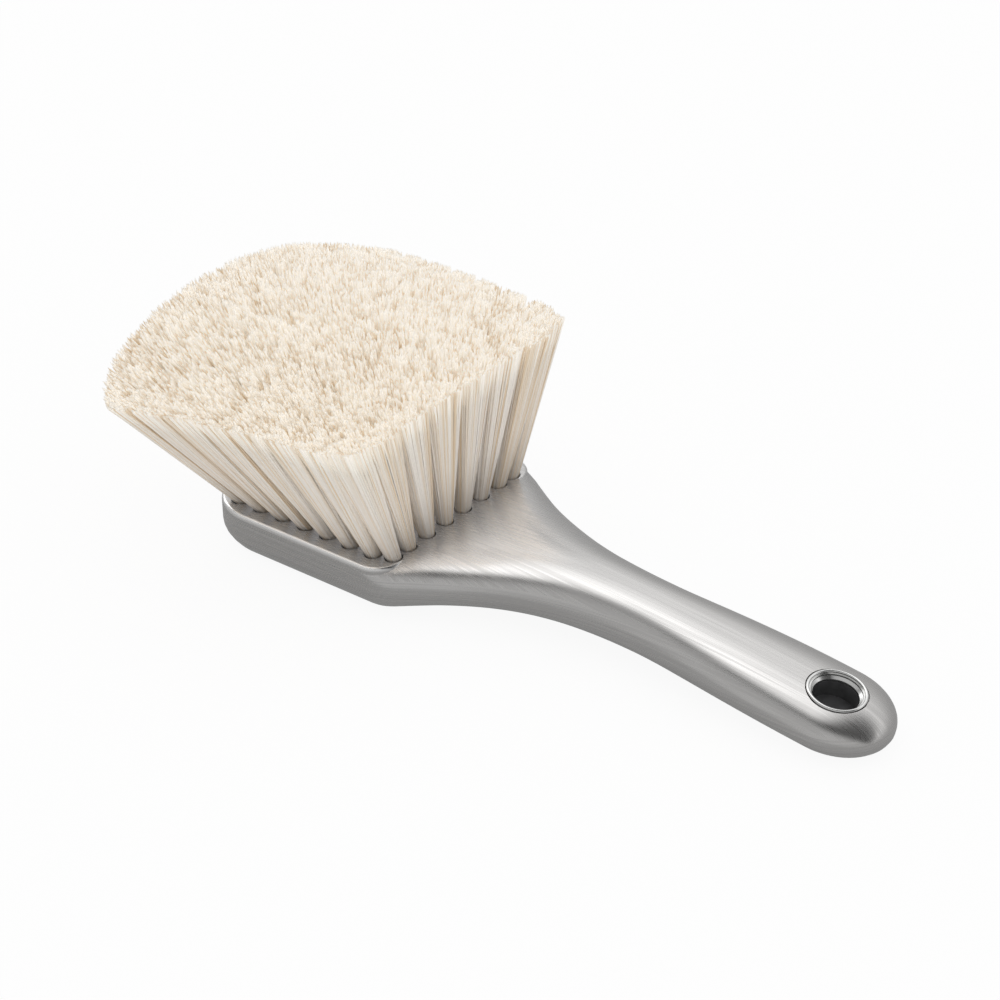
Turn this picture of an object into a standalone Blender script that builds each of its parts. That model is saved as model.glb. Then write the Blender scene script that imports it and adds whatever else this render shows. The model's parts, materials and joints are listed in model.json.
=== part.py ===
"""Short-handled detailing brush, lying on its back with the bristles up.

One metal body holds the tufted block, the flared neck and the grip. Each tuft of bristles is a
piece of its own, set in its own slanted blind hole. A polished ring and a dark cup line the hang
socket near the grip's end. Everything is modelled with the tufted face level at z = 0 and the
grip along +X, and an empty then lays the whole brush on the floor.
"""

import math

import bmesh
import bpy
import numpy as np
from mathutils import Matrix, Vector

# Block, measured from the middle of the tuft pattern
HEAD_HALF_WIDTH = 0.0400
HEAD_BACK = 0.0394
HEAD_FRONT = 0.0360
HEAD_THICKNESS = 0.0156
BACK_CORNER_RADIUS = 0.0197
FACE_CORNER_RADIUS = 0.0090
RIM_FILLET = 0.0011
RIM_LEDGE = 0.0001
BOTTOM_FILLET = 0.0080
HEEL_CORNER_SPREAD = 0.0080
FACE_PLATE_DEPTH = 0.0075

# Neck: the plan outline leaves the block round a shoulder and sweeps in to the waist
SHOULDER_START = 0.0289
SHOULDER_RADIUS = 0.0170
FLARE_ANGLE = math.radians(34.0)
FLARE_REACH = 0.0270
WAIST_REACH = 0.0300
WAIST_X = 0.1080
WAIST_HALF_WIDTH = 0.0140
NECK_TOP_START = 0.0220
NECK_UNDER_START = 0.0330
NECK_SHOULDER_WIDTH = 0.0090
NECK_SHOULDER_DROP = 0.0055
NECK_CROWN = 0.0008
NECK_LIFT = 0.0001
CROWN_LENGTH = 0.0200

# Grip: side curves, end cap and the lines of its top and its underside
GRIP_SWELL_REACH = 0.0120
GRIP_END_REACH = 0.0300
GRIP_END_X = 0.1690
GRIP_END_HALF_WIDTH = 0.0174
END_CAP_LENGTH = 0.0187
ROUNDING_LENGTH = 0.0550
TOP_RISE = 0.0050
TOP_DIP = 0.0026
TOP_TIP_DROP = 0.0103
UNDER_RISE = 0.0021
UNDER_DIP = 0.0028
UNDER_TIP_DROP = 0.0084
TOP_ROUND_SHARE = 0.84
UNDER_ROUND_SHARE = 0.88
ROUND_HEIGHT_SHARE = 0.485
SECTION_POWER = 2.15

# Tuft pattern: the two side rows, the corner tufts and the inner rows
SIDE_ROW_MARGIN = 0.0079
SIDE_ROW_BACK_MARGIN = 0.0128
FRONT_ROW_MARGIN = 0.0036
BACK_ROW_MARGIN = 0.0070
CORNER_ROW_BACK_MARGIN = 0.0095
CORNER_STEP_X = 0.0062
CORNER_STEP_Y = 0.0020
ROW_PITCH = 0.0092
SIDE_ROW_PITCH = 0.0088
CORNER_ROW_PITCH = 0.0125
INNER_ROW_PITCH = 0.0108

# One tuft and its hole
HOLE_RADIUS = 0.00285
SEAT_GAP = 0.0003
ROOT_LENGTH = 0.0040
BACK_LENGTH = 0.0630
FRONT_LENGTH = 0.0483
SIDE_BACK_TRIM = 0.0046
SIDE_FRONT_EXTRA = 0.0039
LENGTH_VARIATION = 0.0009
STRAND_CLEARANCE = 0.0003
RING_STRANDS = 6
STRAND_SIDES = 4
ROOT_SIDES = 8
HOLE_SIDES = 12
STRAND_RING_SHARE = 0.60
STRAND_SIZE_SHARE = 0.26
TIP_RING_SHARE = 0.66
TIP_SIZE_SHARE = 0.31
EDGE_SPREAD_SHARE = 0.65

# Lean of the bristles, as shares of their length: along the grip and sideways
FRONT_LEAN_SHARE = 0.00
BACK_LEAN_SHARE = -0.425
SIDE_STRAIGHTEN_SHARE = 0.06
SIDE_LEAN_FRONT_SHARE = 0.40
SIDE_LEAN_BACK_SHARE = 0.565
INNER_LEAN_SHARE = 0.26

# Hang socket: a ring and a cup on one axis, square to the sloping top of the grip
SOCKET_X = 0.1698
SOCKET_SLOPE_SHARE = 0.17
SOCKET_SINK = 0.0003
RING_OUTER_RADIUS = 0.0091
RING_BEAD_WIDTH = 0.0010
RING_BEAD_HEIGHT = 0.0004
RING_GROOVE_DEPTH = 0.0005
RING_STEP_WIDTH = 0.0004
RING_HEIGHT = 0.0021
SOCKET_RADIUS = 0.0069
CUP_WALL = 0.0011
CUP_FLOOR = 0.0010
SOCKET_DEPTH = 0.0078
TURN_STEPS = 36

CUT_OVERRUN = 0.0030

# Facets of the body
CORNER_STEPS = 8
SIDE_STEPS = 4
SHOULDER_STEPS = 5
FLARE_STEPS = 13
GRIP_STEPS = 9
CAP_STEPS = 9
ROUND_STEPS = 6
UNDER_STEPS = 5
CROWN_SPANS = 6
RIM_STEPS = 3

# Material colours
METAL_COLOUR = (0.60, 0.59, 0.58, 1.0)
RING_COLOUR = (0.82, 0.82, 0.81, 1.0)
CUP_COLOUR = (0.035, 0.035, 0.036, 1.0)
BRISTLE_COLOUR = (0.87, 0.81, 0.71, 1.0)


def clear_scene():
    for obj in list(bpy.data.objects):
        bpy.data.objects.remove(obj, do_unlink=True)


def make_material(name, colour, roughness, metallic):
    material = bpy.data.materials.new(name)
    material.use_nodes = True
    shader = material.node_tree.nodes["Principled BSDF"]
    shader.inputs["Base Color"].default_value = colour
    shader.inputs["Roughness"].default_value = roughness
    shader.inputs["Metallic"].default_value = metallic
    material.diffuse_color = colour
    return material


def add_object(name, bm, material, parent):
    """Turn a bmesh into a smooth shaded object under the brush's empty."""
    bmesh.ops.recalc_face_normals(bm, faces=bm.faces)
    if bm.calc_volume(signed=True) < 0:
        bmesh.ops.reverse_faces(bm, faces=bm.faces)
    mesh = bpy.data.meshes.new(name)
    bm.to_mesh(mesh)
    bm.free()
    obj = bpy.data.objects.new(name, mesh)
    bpy.context.scene.collection.objects.link(obj)
    obj.parent = parent
    if material:
        mesh.materials.append(material)
        mesh.shade_smooth()
        mesh.set_sharp_from_angle(angle=math.radians(35.0))
    return obj


def make_helper(obj):
    """A helper shape cuts or joins the body and isn't a piece itself."""
    obj.hide_render = True
    obj.display_type = "WIRE"
    return obj


def add_boolean(obj, operation, other):
    modifier = obj.modifiers.new(other.name, "BOOLEAN")
    modifier.operation = operation
    modifier.solver = "EXACT"
    modifier.object = other


def smooth_step(share):
    share = min(max(share, 0.0), 1.0)
    return share * share * (3.0 - 2.0 * share)


def mix(start, end, share):
    return start + (end - start) * share


def cubic(p0, p1, p2, p3, share):
    rest = 1.0 - share
    return rest**3 * p0 + 3 * rest**2 * share * p1 + 3 * rest * share**2 * p2 + share**3 * p3


# Plan outline of the body


def arc_points(centre, radii, start, end, steps):
    """Points on an arc after its first one, angles in radians from +X."""
    angles = np.linspace(start, end, steps + 1)[1:]
    return [
        (centre[0] + radii[0] * math.cos(angle), centre[1] + radii[1] * math.sin(angle))
        for angle in angles
    ]


def curve_points(p0, p1, p2, p3, steps):
    """Points on a cubic curve after its first one."""
    corners = [np.array(point) for point in (p0, p1, p2, p3)]
    return [tuple(cubic(*corners, share)) for share in np.linspace(0, 1, steps + 1)[1:]]


def line_points(start, end, steps):
    return [(mix(start[0], end[0], t), mix(start[1], end[1], t)) for t in np.linspace(0, 1, steps + 1)[1:]]


def body_half_outline():
    """The body's far half in plan, from the middle of the back edge to the tip of the grip."""
    flat = HEAD_HALF_WIDTH - BACK_CORNER_RADIUS
    corner = (BACK_CORNER_RADIUS - HEAD_BACK, flat)
    points = [(-HEAD_BACK, 0.0)]
    points += line_points(points[-1], (-HEAD_BACK, flat), 2)
    radii = (BACK_CORNER_RADIUS, BACK_CORNER_RADIUS)
    points += arc_points(corner, radii, math.pi, math.pi / 2, CORNER_STEPS)
    points += line_points(points[-1], (NECK_TOP_START, HEAD_HALF_WIDTH), SIDE_STEPS)
    points += line_points(points[-1], (SHOULDER_START, HEAD_HALF_WIDTH), 2)
    centre = (SHOULDER_START, HEAD_HALF_WIDTH - SHOULDER_RADIUS)
    radii = (SHOULDER_RADIUS, SHOULDER_RADIUS)
    turned = math.pi / 2 - FLARE_ANGLE
    points += arc_points(centre, radii, math.pi / 2, turned, SHOULDER_STEPS)
    leave = points[-1]
    toward = (
        leave[0] + FLARE_REACH * math.cos(FLARE_ANGLE),
        leave[1] - FLARE_REACH * math.sin(FLARE_ANGLE),
    )
    waist = (WAIST_X, WAIST_HALF_WIDTH)
    arrive = (WAIST_X - WAIST_REACH, WAIST_HALF_WIDTH)
    points += curve_points(leave, toward, arrive, waist, FLARE_STEPS)
    grip_end = (GRIP_END_X, GRIP_END_HALF_WIDTH)
    after_waist = (WAIST_X + GRIP_SWELL_REACH, WAIST_HALF_WIDTH)
    before_end = (GRIP_END_X - GRIP_END_REACH, GRIP_END_HALF_WIDTH)
    points += curve_points(waist, after_waist, before_end, grip_end, GRIP_STEPS)
    radii = (END_CAP_LENGTH, GRIP_END_HALF_WIDTH)
    points += arc_points((GRIP_END_X, 0.0), radii, math.pi / 2, 0.0, CAP_STEPS)
    points[-1] = (GRIP_END_X + END_CAP_LENGTH, 0.0)
    return points


def with_inward_normals(half):
    """Each point of the far half outline with its unit normal towards the inside."""
    mirrored = [(x, -y) for x, y in (half[1], half[-2])]
    padded = np.array([mirrored[0]] + half + [mirrored[1]])
    along = padded[2:] - padded[:-2]
    along /= np.linalg.norm(along, axis=1)[:, None]
    return [(x, y, ty, -tx) for (x, y), (tx, ty) in zip(half, along)]


# Side view of the body: the heights of its top and its underside along the middle


def top_height(x):
    tip = GRIP_END_X + END_CAP_LENGTH
    if x <= HEAD_FRONT:
        share = smooth_step((x - NECK_TOP_START) / (HEAD_FRONT - NECK_TOP_START))
        return mix(-RIM_FILLET, NECK_LIFT, share)
    share = (x - HEAD_FRONT) / (tip - HEAD_FRONT)
    return cubic(NECK_LIFT, TOP_RISE, -TOP_DIP, -TOP_TIP_DROP, share)


def under_height(x):
    tip = GRIP_END_X + END_CAP_LENGTH
    if x <= NECK_UNDER_START:
        return -HEAD_THICKNESS
    share = (x - NECK_UNDER_START) / (tip - NECK_UNDER_START)
    return cubic(0.0, UNDER_RISE, -UNDER_DIP, -UNDER_TIP_DROP, share) - HEAD_THICKNESS


def section_shares(x):
    """How far the neck has emerged from the block at x, and how round the grip has become."""
    emerging = smooth_step((x - NECK_TOP_START) / (HEAD_FRONT - NECK_TOP_START))
    return emerging, smooth_step((x - NECK_UNDER_START) / ROUNDING_LENGTH)


def crown_drop(x):
    """How far the neck's top falls from its middle to where its shoulder rounding starts."""
    _, grip = section_shares(x)
    risen = smooth_step((x - HEAD_FRONT) / CROWN_LENGTH)
    return NECK_CROWN * risen * (1.0 - grip)


def roundings(x, half_width):
    """Widths and heights of the top and the bottom rounding, at a place along the outline."""
    thickness = top_height(x) - crown_drop(x) - under_height(x)
    emerging, grip = section_shares(x)
    neck_width = mix(RIM_FILLET / 2, NECK_SHOULDER_WIDTH, emerging)
    neck_drop = mix(RIM_FILLET / 2, NECK_SHOULDER_DROP, emerging)
    round_height = thickness * ROUND_HEIGHT_SHARE
    top = (
        mix(neck_width, half_width * TOP_ROUND_SHARE, grip),
        mix(neck_drop, round_height, grip),
    )
    bottom = (
        mix(BOTTOM_FILLET, half_width * UNDER_ROUND_SHARE, grip),
        mix(BOTTOM_FILLET, round_height, grip),
    )
    return top, bottom


def rounded(share_angle):
    """Inset and rise of a rounding, as shares of its width and height."""
    inset = 1.0 - max(math.cos(share_angle), 0.0) ** (2.0 / SECTION_POWER)
    rise = math.sin(share_angle) ** (2.0 / SECTION_POWER)
    return inset, rise


def section_at(point):
    """The body's skin over one outline point, from inside the underside up to inside the top."""
    x, y, nx, ny = point
    in_cap = x > GRIP_END_X
    (top_in, top_drop), (low_in, low_rise) = roundings(x, GRIP_END_HALF_WIDTH if in_cap else y)
    if x < 0:
        # The underside's rounding widens round the heel's corners, so the block rests on its back edge
        low_in += HEEL_CORNER_SPREAD * abs(nx * ny)
    skin = []
    for angle in np.linspace(math.pi / 2, 0, UNDER_STEPS + 1):
        inset, rise = rounded(angle)
        at_x = x + nx * low_in * inset
        z = under_height(at_x) + low_rise * (1.0 - rise)
        skin.append((at_x, y + ny * low_in * inset, z))
    for angle in np.linspace(0, math.pi / 2, ROUND_STEPS + 1):
        inset, rise = rounded(angle)
        at_x = x + nx * top_in * inset
        z = top_height(at_x) - crown_drop(at_x) - top_drop * (1.0 - rise)
        skin.append((at_x, y + ny * top_in * inset, z))
    return skin


def flat_under(x, across):
    return under_height(x)


def crowned_top(x, across):
    return top_height(x) - crown_drop(x) * across**2


def add_cover(bm, far, near, flat_end, height):
    """Close the top or the underside: one flat face over the block, then strips along the grip.

    far and near hold the inner vertices of the two halves, which share their first and last ones.
    """
    first = next(i for i, vert in enumerate(far) if vert.co.x > flat_end) - 1
    bm.faces.new(far[: first + 1] + near[first:0:-1])
    strips = []
    for a, b in zip(far[first:-1], near[first:-1]):
        strip = [a]
        for share in np.linspace(0, 1, CROWN_SPANS + 1)[1:-1]:
            across = 1.0 - 2.0 * share
            x, y = a.co.x, a.co.y * across
            strip.append(bm.verts.new((x, y, height(x, across))))
        strips.append(strip + [b])
    # The block's flat face keeps one straight edge, so the first strip has no points between
    strips[0] = [far[first], near[first]]
    for j in range(CROWN_SPANS):
        middle = CROWN_SPANS // 2
        anchor = strips[0][0] if j < middle else strips[0][1]
        bm.faces.new((anchor, strips[1][j], strips[1][j + 1]))
    bm.faces.new((strips[0][0], strips[1][CROWN_SPANS // 2], strips[0][1]))
    for one, two in zip(strips[1:-1], strips[2:]):
        for j in range(CROWN_SPANS):
            bm.faces.new((one[j], two[j], two[j + 1], one[j + 1]))
    for j in range(CROWN_SPANS):
        bm.faces.new((strips[-1][j], far[-1], strips[-1][j + 1]))
    for vert in [v for v in bm.verts if not v.link_faces]:
        bm.verts.remove(vert)


def build_body_skin():
    """Loft of the block, neck and grip without its tufted face, its holes or its socket."""
    bm = bmesh.new()
    far_rings = []
    near_rings = []
    outline = with_inward_normals(body_half_outline())
    for index, point in enumerate(outline):
        skin = section_at(point)
        on_axis = index in (0, len(outline) - 1)
        if on_axis:
            skin = [(x, 0.0, z) for x, y, z in skin]
        far = [bm.verts.new(place) for place in skin]
        near = far if on_axis else [bm.verts.new((x, -y, z)) for x, y, z in skin]
        far_rings.append(far)
        near_rings.append(near)
    for rings in (far_rings, near_rings):
        for one, two in zip(rings[:-1], rings[1:]):
            for j in range(len(one) - 1):
                bm.faces.new((one[j], two[j], two[j + 1], one[j + 1]))
    low_far, low_near = ([ring[0] for ring in rings] for rings in (far_rings, near_rings))
    top_far, top_near = ([ring[-1] for ring in rings] for rings in (far_rings, near_rings))
    add_cover(bm, low_far, low_near, NECK_UNDER_START, flat_under)
    add_cover(bm, top_far, top_near, NECK_TOP_START, crowned_top)
    return bm


def build_face_plate():
    """The raised tufted face with its rounded rim, which the body carries in one piece."""
    half_width = HEAD_HALF_WIDTH - RIM_LEDGE
    back = HEAD_BACK - RIM_LEDGE
    back_radius = BACK_CORNER_RADIUS - RIM_LEDGE
    bm = bmesh.new()
    levels = [(0.0, -FACE_PLATE_DEPTH)]
    for angle in np.linspace(0, math.pi / 2, RIM_STEPS + 1):
        levels.append((RIM_FILLET * (1 - math.cos(angle)), -RIM_FILLET * (1 - math.sin(angle))))
    rings = []
    for inset, z in levels:
        back_centre = (back_radius - back, half_width - back_radius)
        front_centre = (HEAD_FRONT - FACE_CORNER_RADIUS, half_width - FACE_CORNER_RADIUS)
        back_round = (back_radius - inset, back_radius - inset)
        front_round = (FACE_CORNER_RADIUS - inset, FACE_CORNER_RADIUS - inset)
        half = [(inset - back, back_centre[1])]
        half += arc_points(back_centre, back_round, math.pi, math.pi / 2, CORNER_STEPS)
        half += [(front_centre[0], half_width - inset)]
        half += arc_points(front_centre, front_round, math.pi / 2, 0.0, CORNER_STEPS)
        full = half + [(x, -y) for x, y in reversed(half)]
        rings.append([bm.verts.new((x, y, z)) for x, y in full])
    for low, high in zip(rings[:-1], rings[1:]):
        for j in range(len(low)):
            k = (j + 1) % len(low)
            bm.faces.new((low[j], low[k], high[k], high[j]))
    bm.faces.new(rings[0])
    bm.faces.new(rings[-1])
    return bm


# Tufts


def pattern_limits():
    """Half width of the side rows, and x of the front and the back row."""
    side_y = HEAD_HALF_WIDTH - SIDE_ROW_MARGIN
    front_x = HEAD_FRONT - FRONT_ROW_MARGIN
    back_x = BACK_ROW_MARGIN - HEAD_BACK
    return side_y, front_x, back_x


def spaced(first, last, pitch):
    """Even places from first to last, as near to a pitch apart as fits."""
    return np.linspace(first, last, round((last - first) / pitch) + 1)


def tuft_rows():
    """The (x, y) places of the tufts, row by row from the near side to the far side.

    The side rows end in a tuft that steps in round the front corner. The rows next to them start
    further in and are set wider, because of the round back corner.
    """
    side_y, front_x, back_x = pattern_limits()
    row_ys = spaced(-side_y, side_y, ROW_PITCH)
    side_xs = spaced(SIDE_ROW_BACK_MARGIN - HEAD_BACK, front_x - CORNER_STEP_X, SIDE_ROW_PITCH)
    corner_xs = spaced(CORNER_ROW_BACK_MARGIN - HEAD_BACK, front_x, CORNER_ROW_PITCH)
    inner_xs = spaced(back_x, front_x, INNER_ROW_PITCH)
    rows = []
    for number, y in enumerate(row_ys):
        from_side = min(number, len(row_ys) - 1 - number)
        xs = (side_xs, corner_xs, inner_xs)[min(from_side, 2)]
        row = [(x, y) for x in xs]
        if from_side == 0:
            row.append((front_x, math.copysign(side_y - CORNER_STEP_Y, y)))
        rows.append(row)
    return rows


def pattern_shares(x, y):
    """Place in the tuft pattern: 0 to 1 from its back to its front row, -1 to 1 across it."""
    side_y, front_x, back_x = pattern_limits()
    return (x - back_x) / (front_x - back_x), y / side_y


def drawn_in(value, limit):
    """The fan spreads less where it has left the outer row behind."""
    beyond = abs(value) - limit
    if beyond <= 0:
        return value
    return math.copysign(limit + beyond * EDGE_SPREAD_SHARE, value)


def bristle_direction(x, y):
    """Unit direction of a bristle that leaves the face at (x, y)."""
    forward, across = pattern_shares(x, y)
    lean_x = mix(BACK_LEAN_SHARE, FRONT_LEAN_SHARE, forward)
    lean_x += SIDE_STRAIGHTEN_SHARE * across**2 * (1.0 - forward)
    lean_y = mix(SIDE_LEAN_BACK_SHARE, SIDE_LEAN_FRONT_SHARE, forward) * across
    lean_y *= 1.0 + INNER_LEAN_SHARE * (1.0 - across**2)
    return Vector((lean_x, lean_y, math.sqrt(1.0 - lean_x**2 - lean_y**2)))


def bristle_tip(x, y, trim=0.0):
    """Where a bristle that leaves the face at (x, y) ends, on the domed brushing surface."""
    forward, across = pattern_shares(x, y)
    length = mix(BACK_LENGTH, FRONT_LENGTH, forward)
    length += mix(-SIDE_BACK_TRIM, SIDE_FRONT_EXTRA, forward) * across**2
    return Vector((x, y, 0.0)) + bristle_direction(x, y) * (length - trim)


def across_axes(direction):
    """Two unit directions square to a tuft's axis, the first level with the grip's side."""
    first = Vector((0, 1, 0)).cross(direction).normalized()
    return first, direction.cross(first)


def root_depths(direction):
    """Depths along a tuft's axis of the top and the bottom of its root, below the face."""
    level = direction.z
    slant = math.sqrt(1.0 - level**2)
    top = (HOLE_RADIUS * slant + SEAT_GAP) / level
    return top, top + ROOT_LENGTH


def ring_of(centre, axes, radius, sides, turn=0.0):
    """Corners of a regular polygon round a centre."""
    angles = [turn + 2 * math.pi * k / sides for k in range(sides)]
    return [centre + radius * (axes[0] * math.cos(a) + axes[1] * math.sin(a)) for a in angles]


def strand_places():
    """Each strand of a tuft as (ring share, angle): one in the middle and the rest round it."""
    return [(0.0, 0.0)] + [(1.0, 2 * math.pi * k / RING_STRANDS) for k in range(RING_STRANDS)]


def build_tuft(x, y, reach, lengths):
    """One tuft: a round root with strands that fan out, each a tapered four-sided bundle.

    reach is how far the tuft may spread at the face before it would meet its neighbour.
    """
    direction = bristle_direction(x, y)
    axes = across_axes(direction)
    face = Vector((x, y, 0.0))
    top_depth, bottom_depth = root_depths(direction)
    root_top = face - direction * top_depth
    root_radius = HOLE_RADIUS - SEAT_GAP
    plan_axes = (Vector((1, 0, 0)), Vector((0, 1, 0)))
    side_y, front_x, _ = pattern_limits()
    bm = bmesh.new()
    low = [bm.verts.new(p) for p in ring_of(face - direction * bottom_depth, axes, root_radius, ROOT_SIDES)]
    high = [bm.verts.new(p) for p in ring_of(root_top, axes, root_radius, ROOT_SIDES)]
    bm.faces.new(list(reversed(low)))
    loops = [high]
    for j in range(ROOT_SIDES):
        k = (j + 1) % ROOT_SIDES
        bm.faces.new((low[j], low[k], high[k], high[j]))
    for (ring, angle), trim in zip(strand_places(), lengths):
        outward = axes[0] * math.cos(angle) + axes[1] * math.sin(angle)
        base = root_top + outward * (ring * root_radius * STRAND_RING_SHARE)
        corners = ring_of(base, axes, root_radius * STRAND_SIZE_SHARE, STRAND_SIDES, angle)
        spread = plan_axes[0] * math.cos(angle) + plan_axes[1] * math.sin(angle)
        aim = face + spread * (ring * reach * TIP_RING_SHARE)
        aims = ring_of(aim, plan_axes, reach * TIP_SIZE_SHARE, STRAND_SIDES, angle)
        start = [bm.verts.new(corner) for corner in corners]
        drawn = [(drawn_in(place.x, front_x), drawn_in(place.y, side_y)) for place in aims]
        end = [bm.verts.new(bristle_tip(at_x, at_y, trim)) for at_x, at_y in drawn]
        for j in range(STRAND_SIDES):
            k = (j + 1) % STRAND_SIDES
            bm.faces.new((start[j], start[k], end[k], end[j]))
        bm.faces.new(end)
        loops.append(start)
    rims = []
    for loop in loops:
        rims += [bm.edges.get((a, b)) for a, b in zip(loop, loop[1:] + loop[:1])]
    bmesh.ops.triangle_fill(bm, edges=rims, normal=direction)
    return bm


def build_hole_cutters(places):
    """All the slanted blind holes in one shape."""
    bm = bmesh.new()
    for x, y in places:
        direction = bristle_direction(x, y)
        axes = across_axes(direction)
        face = Vector((x, y, 0.0))
        depth = root_depths(direction)[1] + SEAT_GAP
        slant = math.sqrt(1.0 - direction.z**2)
        above = (HOLE_RADIUS * slant + CUT_OVERRUN) / direction.z
        low = [bm.verts.new(p) for p in ring_of(face - direction * depth, axes, HOLE_RADIUS, HOLE_SIDES)]
        high = [bm.verts.new(p) for p in ring_of(face + direction * above, axes, HOLE_RADIUS, HOLE_SIDES)]
        bm.faces.new(list(reversed(low)))
        bm.faces.new(high)
        for j in range(HOLE_SIDES):
            k = (j + 1) % HOLE_SIDES
            bm.faces.new((low[j], low[k], high[k], high[j]))
    return bm


# Hang socket


def socket_matrix():
    """The socket's own frame: z out of its mouth, the origin in the plane of its ring."""
    axis = Vector((SOCKET_SLOPE_SHARE, 0, 1)).normalized()
    side = Vector((0, 1, 0))
    forward = side.cross(axis)
    turn = Matrix((forward, side, axis)).transposed().to_4x4()
    place = Vector((SOCKET_X, 0, top_height(SOCKET_X) - SOCKET_SINK))
    return Matrix.Translation(place) @ turn


def turned(profile):
    """A closed (radius, height) profile turned about z. Points at radius 0 close it on the axis."""
    bm = bmesh.new()
    rings = []
    for radius, z in profile:
        if radius == 0:
            rings.append([bm.verts.new((0, 0, z))] * TURN_STEPS)
            continue
        angles = [2 * math.pi * k / TURN_STEPS for k in range(TURN_STEPS)]
        rings.append([bm.verts.new((radius * math.cos(a), radius * math.sin(a), z)) for a in angles])
    on_axis = profile[0][0] == 0
    pairs = list(zip(rings[:-1], rings[1:])) + ([] if on_axis else [(rings[-1], rings[0])])
    for one, two in pairs:
        for j in range(TURN_STEPS):
            k = (j + 1) % TURN_STEPS
            corners = list(dict.fromkeys((one[j], one[k], two[k], two[j])))
            if len(corners) > 2:
                bm.faces.new(corners)
    return bm


def ring_profile():
    """Polished ring: a rounded bead, a fine groove, and a step and slope down to the socket."""
    bead_in = RING_OUTER_RADIUS - RING_BEAD_WIDTH
    bead = []
    for angle in np.linspace(0, math.pi, 5):
        radius = bead_in + RING_BEAD_WIDTH * (1 + math.cos(angle)) / 2
        bead.append((radius, RING_BEAD_HEIGHT * math.sin(angle)))
    step_in = bead_in - RING_STEP_WIDTH
    return (
        [(RING_OUTER_RADIUS, -RING_HEIGHT)]
        + bead
        + [
            (bead_in, -RING_GROOVE_DEPTH),
            (step_in, -RING_GROOVE_DEPTH),
            (step_in, -2 * RING_GROOVE_DEPTH),
            (SOCKET_RADIUS, -RING_HEIGHT + RING_STEP_WIDTH),
            (SOCKET_RADIUS, -RING_HEIGHT),
        ]
    )


def cup_profile():
    """Dark cup below the ring: an open can with a flat floor."""
    rim = -RING_HEIGHT - SEAT_GAP
    return [
        (0, -SOCKET_DEPTH - CUP_FLOOR),
        (SOCKET_RADIUS + CUP_WALL, -SOCKET_DEPTH - CUP_FLOOR),
        (SOCKET_RADIUS + CUP_WALL, rim),
        (SOCKET_RADIUS, rim),
        (SOCKET_RADIUS, -SOCKET_DEPTH),
        (0, -SOCKET_DEPTH),
    ]


def socket_cut_profile():
    """Counterbore for the ring and bore for the cup, with the seat gap all round."""
    bottom = -SOCKET_DEPTH - CUP_FLOOR - SEAT_GAP
    bore = SOCKET_RADIUS + CUP_WALL + SEAT_GAP
    ring = RING_OUTER_RADIUS + SEAT_GAP
    return [
        (0, bottom),
        (bore, bottom),
        (bore, -RING_HEIGHT - SEAT_GAP),
        (ring, -RING_HEIGHT - SEAT_GAP),
        (ring, CUT_OVERRUN),
        (0, CUT_OVERRUN),
    ]


# Assembly


def add_body(frame, metal, places):
    body = add_object("handle_body", build_body_skin(), metal, frame)
    plate = make_helper(add_object("face_plate_shape", build_face_plate(), None, frame))
    holes = make_helper(add_object("tuft_hole_cutter", build_hole_cutters(places), None, frame))
    socket = make_helper(add_object("socket_cutter", turned(socket_cut_profile()), None, frame))
    socket.matrix_local = socket_matrix()
    add_boolean(body, "UNION", plate)
    add_boolean(body, "DIFFERENCE", holes)
    add_boolean(body, "DIFFERENCE", socket)
    return body


def add_tufts(frame, bristle, rows):
    places = [place for row in rows for place in row]
    chance = np.random.default_rng(7)
    tufts = []
    for row_number, row in enumerate(rows, start=1):
        for number, (x, y) in enumerate(row, start=1):
            nearest = min(math.dist((x, y), other) for other in places if other != (x, y))
            reach = nearest / 2 - STRAND_CLEARANCE
            lengths = chance.uniform(0, LENGTH_VARIATION, RING_STRANDS + 1)
            name = f"bristle_tuft_row{row_number}_{number}"
            tufts.append(add_object(name, build_tuft(x, y, reach, lengths), bristle, frame))
    return tufts


def add_socket(frame, metal, dark):
    ring = add_object("hang_socket_ring", turned(ring_profile()), metal, frame)
    cup = add_object("hang_socket_cup", turned(cup_profile()), dark, frame)
    for piece in (ring, cup):
        piece.matrix_local = socket_matrix()


def resting_tilt(points):
    """Turn about Y at which the block's heel and the grip's end touch the floor together."""
    tilt = 0.0
    for _ in range(6):
        heights = points[:, 2] * math.cos(tilt) + points[:, 0] * math.sin(tilt)
        heel = points[np.where(points[:, 0] < 0, heights, np.inf).argmin()]
        end = points[np.where(points[:, 0] > 0, heights, np.inf).argmin()]
        tilt = math.atan2(heel[2] - end[2], end[0] - heel[0])
    return tilt


def lay_down(frame, body, tufts):
    """Tilt the brush onto its heel and grip end, and centre its length on the origin."""
    skin = np.array([vertex.co[:] for vertex in body.data.vertices])
    strands = np.array([vertex.co[:] for tuft in tufts for vertex in tuft.data.vertices])
    turn = Matrix.Rotation(-resting_tilt(skin), 4, "Y")
    placed = np.concatenate([skin, strands]) @ np.array(turn.to_3x3()).T
    low, high = placed.min(axis=0), placed.max(axis=0)
    shift = Vector((-(low[0] + high[0]) / 2, 0, -low[2]))
    frame.matrix_world = Matrix.Translation(shift) @ turn


def main():
    clear_scene()
    frame = bpy.data.objects.new("brush_frame", None)
    bpy.context.scene.collection.objects.link(frame)
    metal = make_material("brushed_metal", METAL_COLOUR, 0.32, 1.0)
    polished = make_material("polished_ring", RING_COLOUR, 0.15, 1.0)
    dark = make_material("dark_cup", CUP_COLOUR, 0.45, 0.0)
    bristle = make_material("cream_bristle", BRISTLE_COLOUR, 0.60, 0.0)
    rows = tuft_rows()
    body = add_body(frame, metal, [place for row in rows for place in row])
    tufts = add_tufts(frame, bristle, rows)
    add_socket(frame, polished, dark)
    lay_down(frame, body, tufts)


main()
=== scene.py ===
import json
import math

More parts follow.
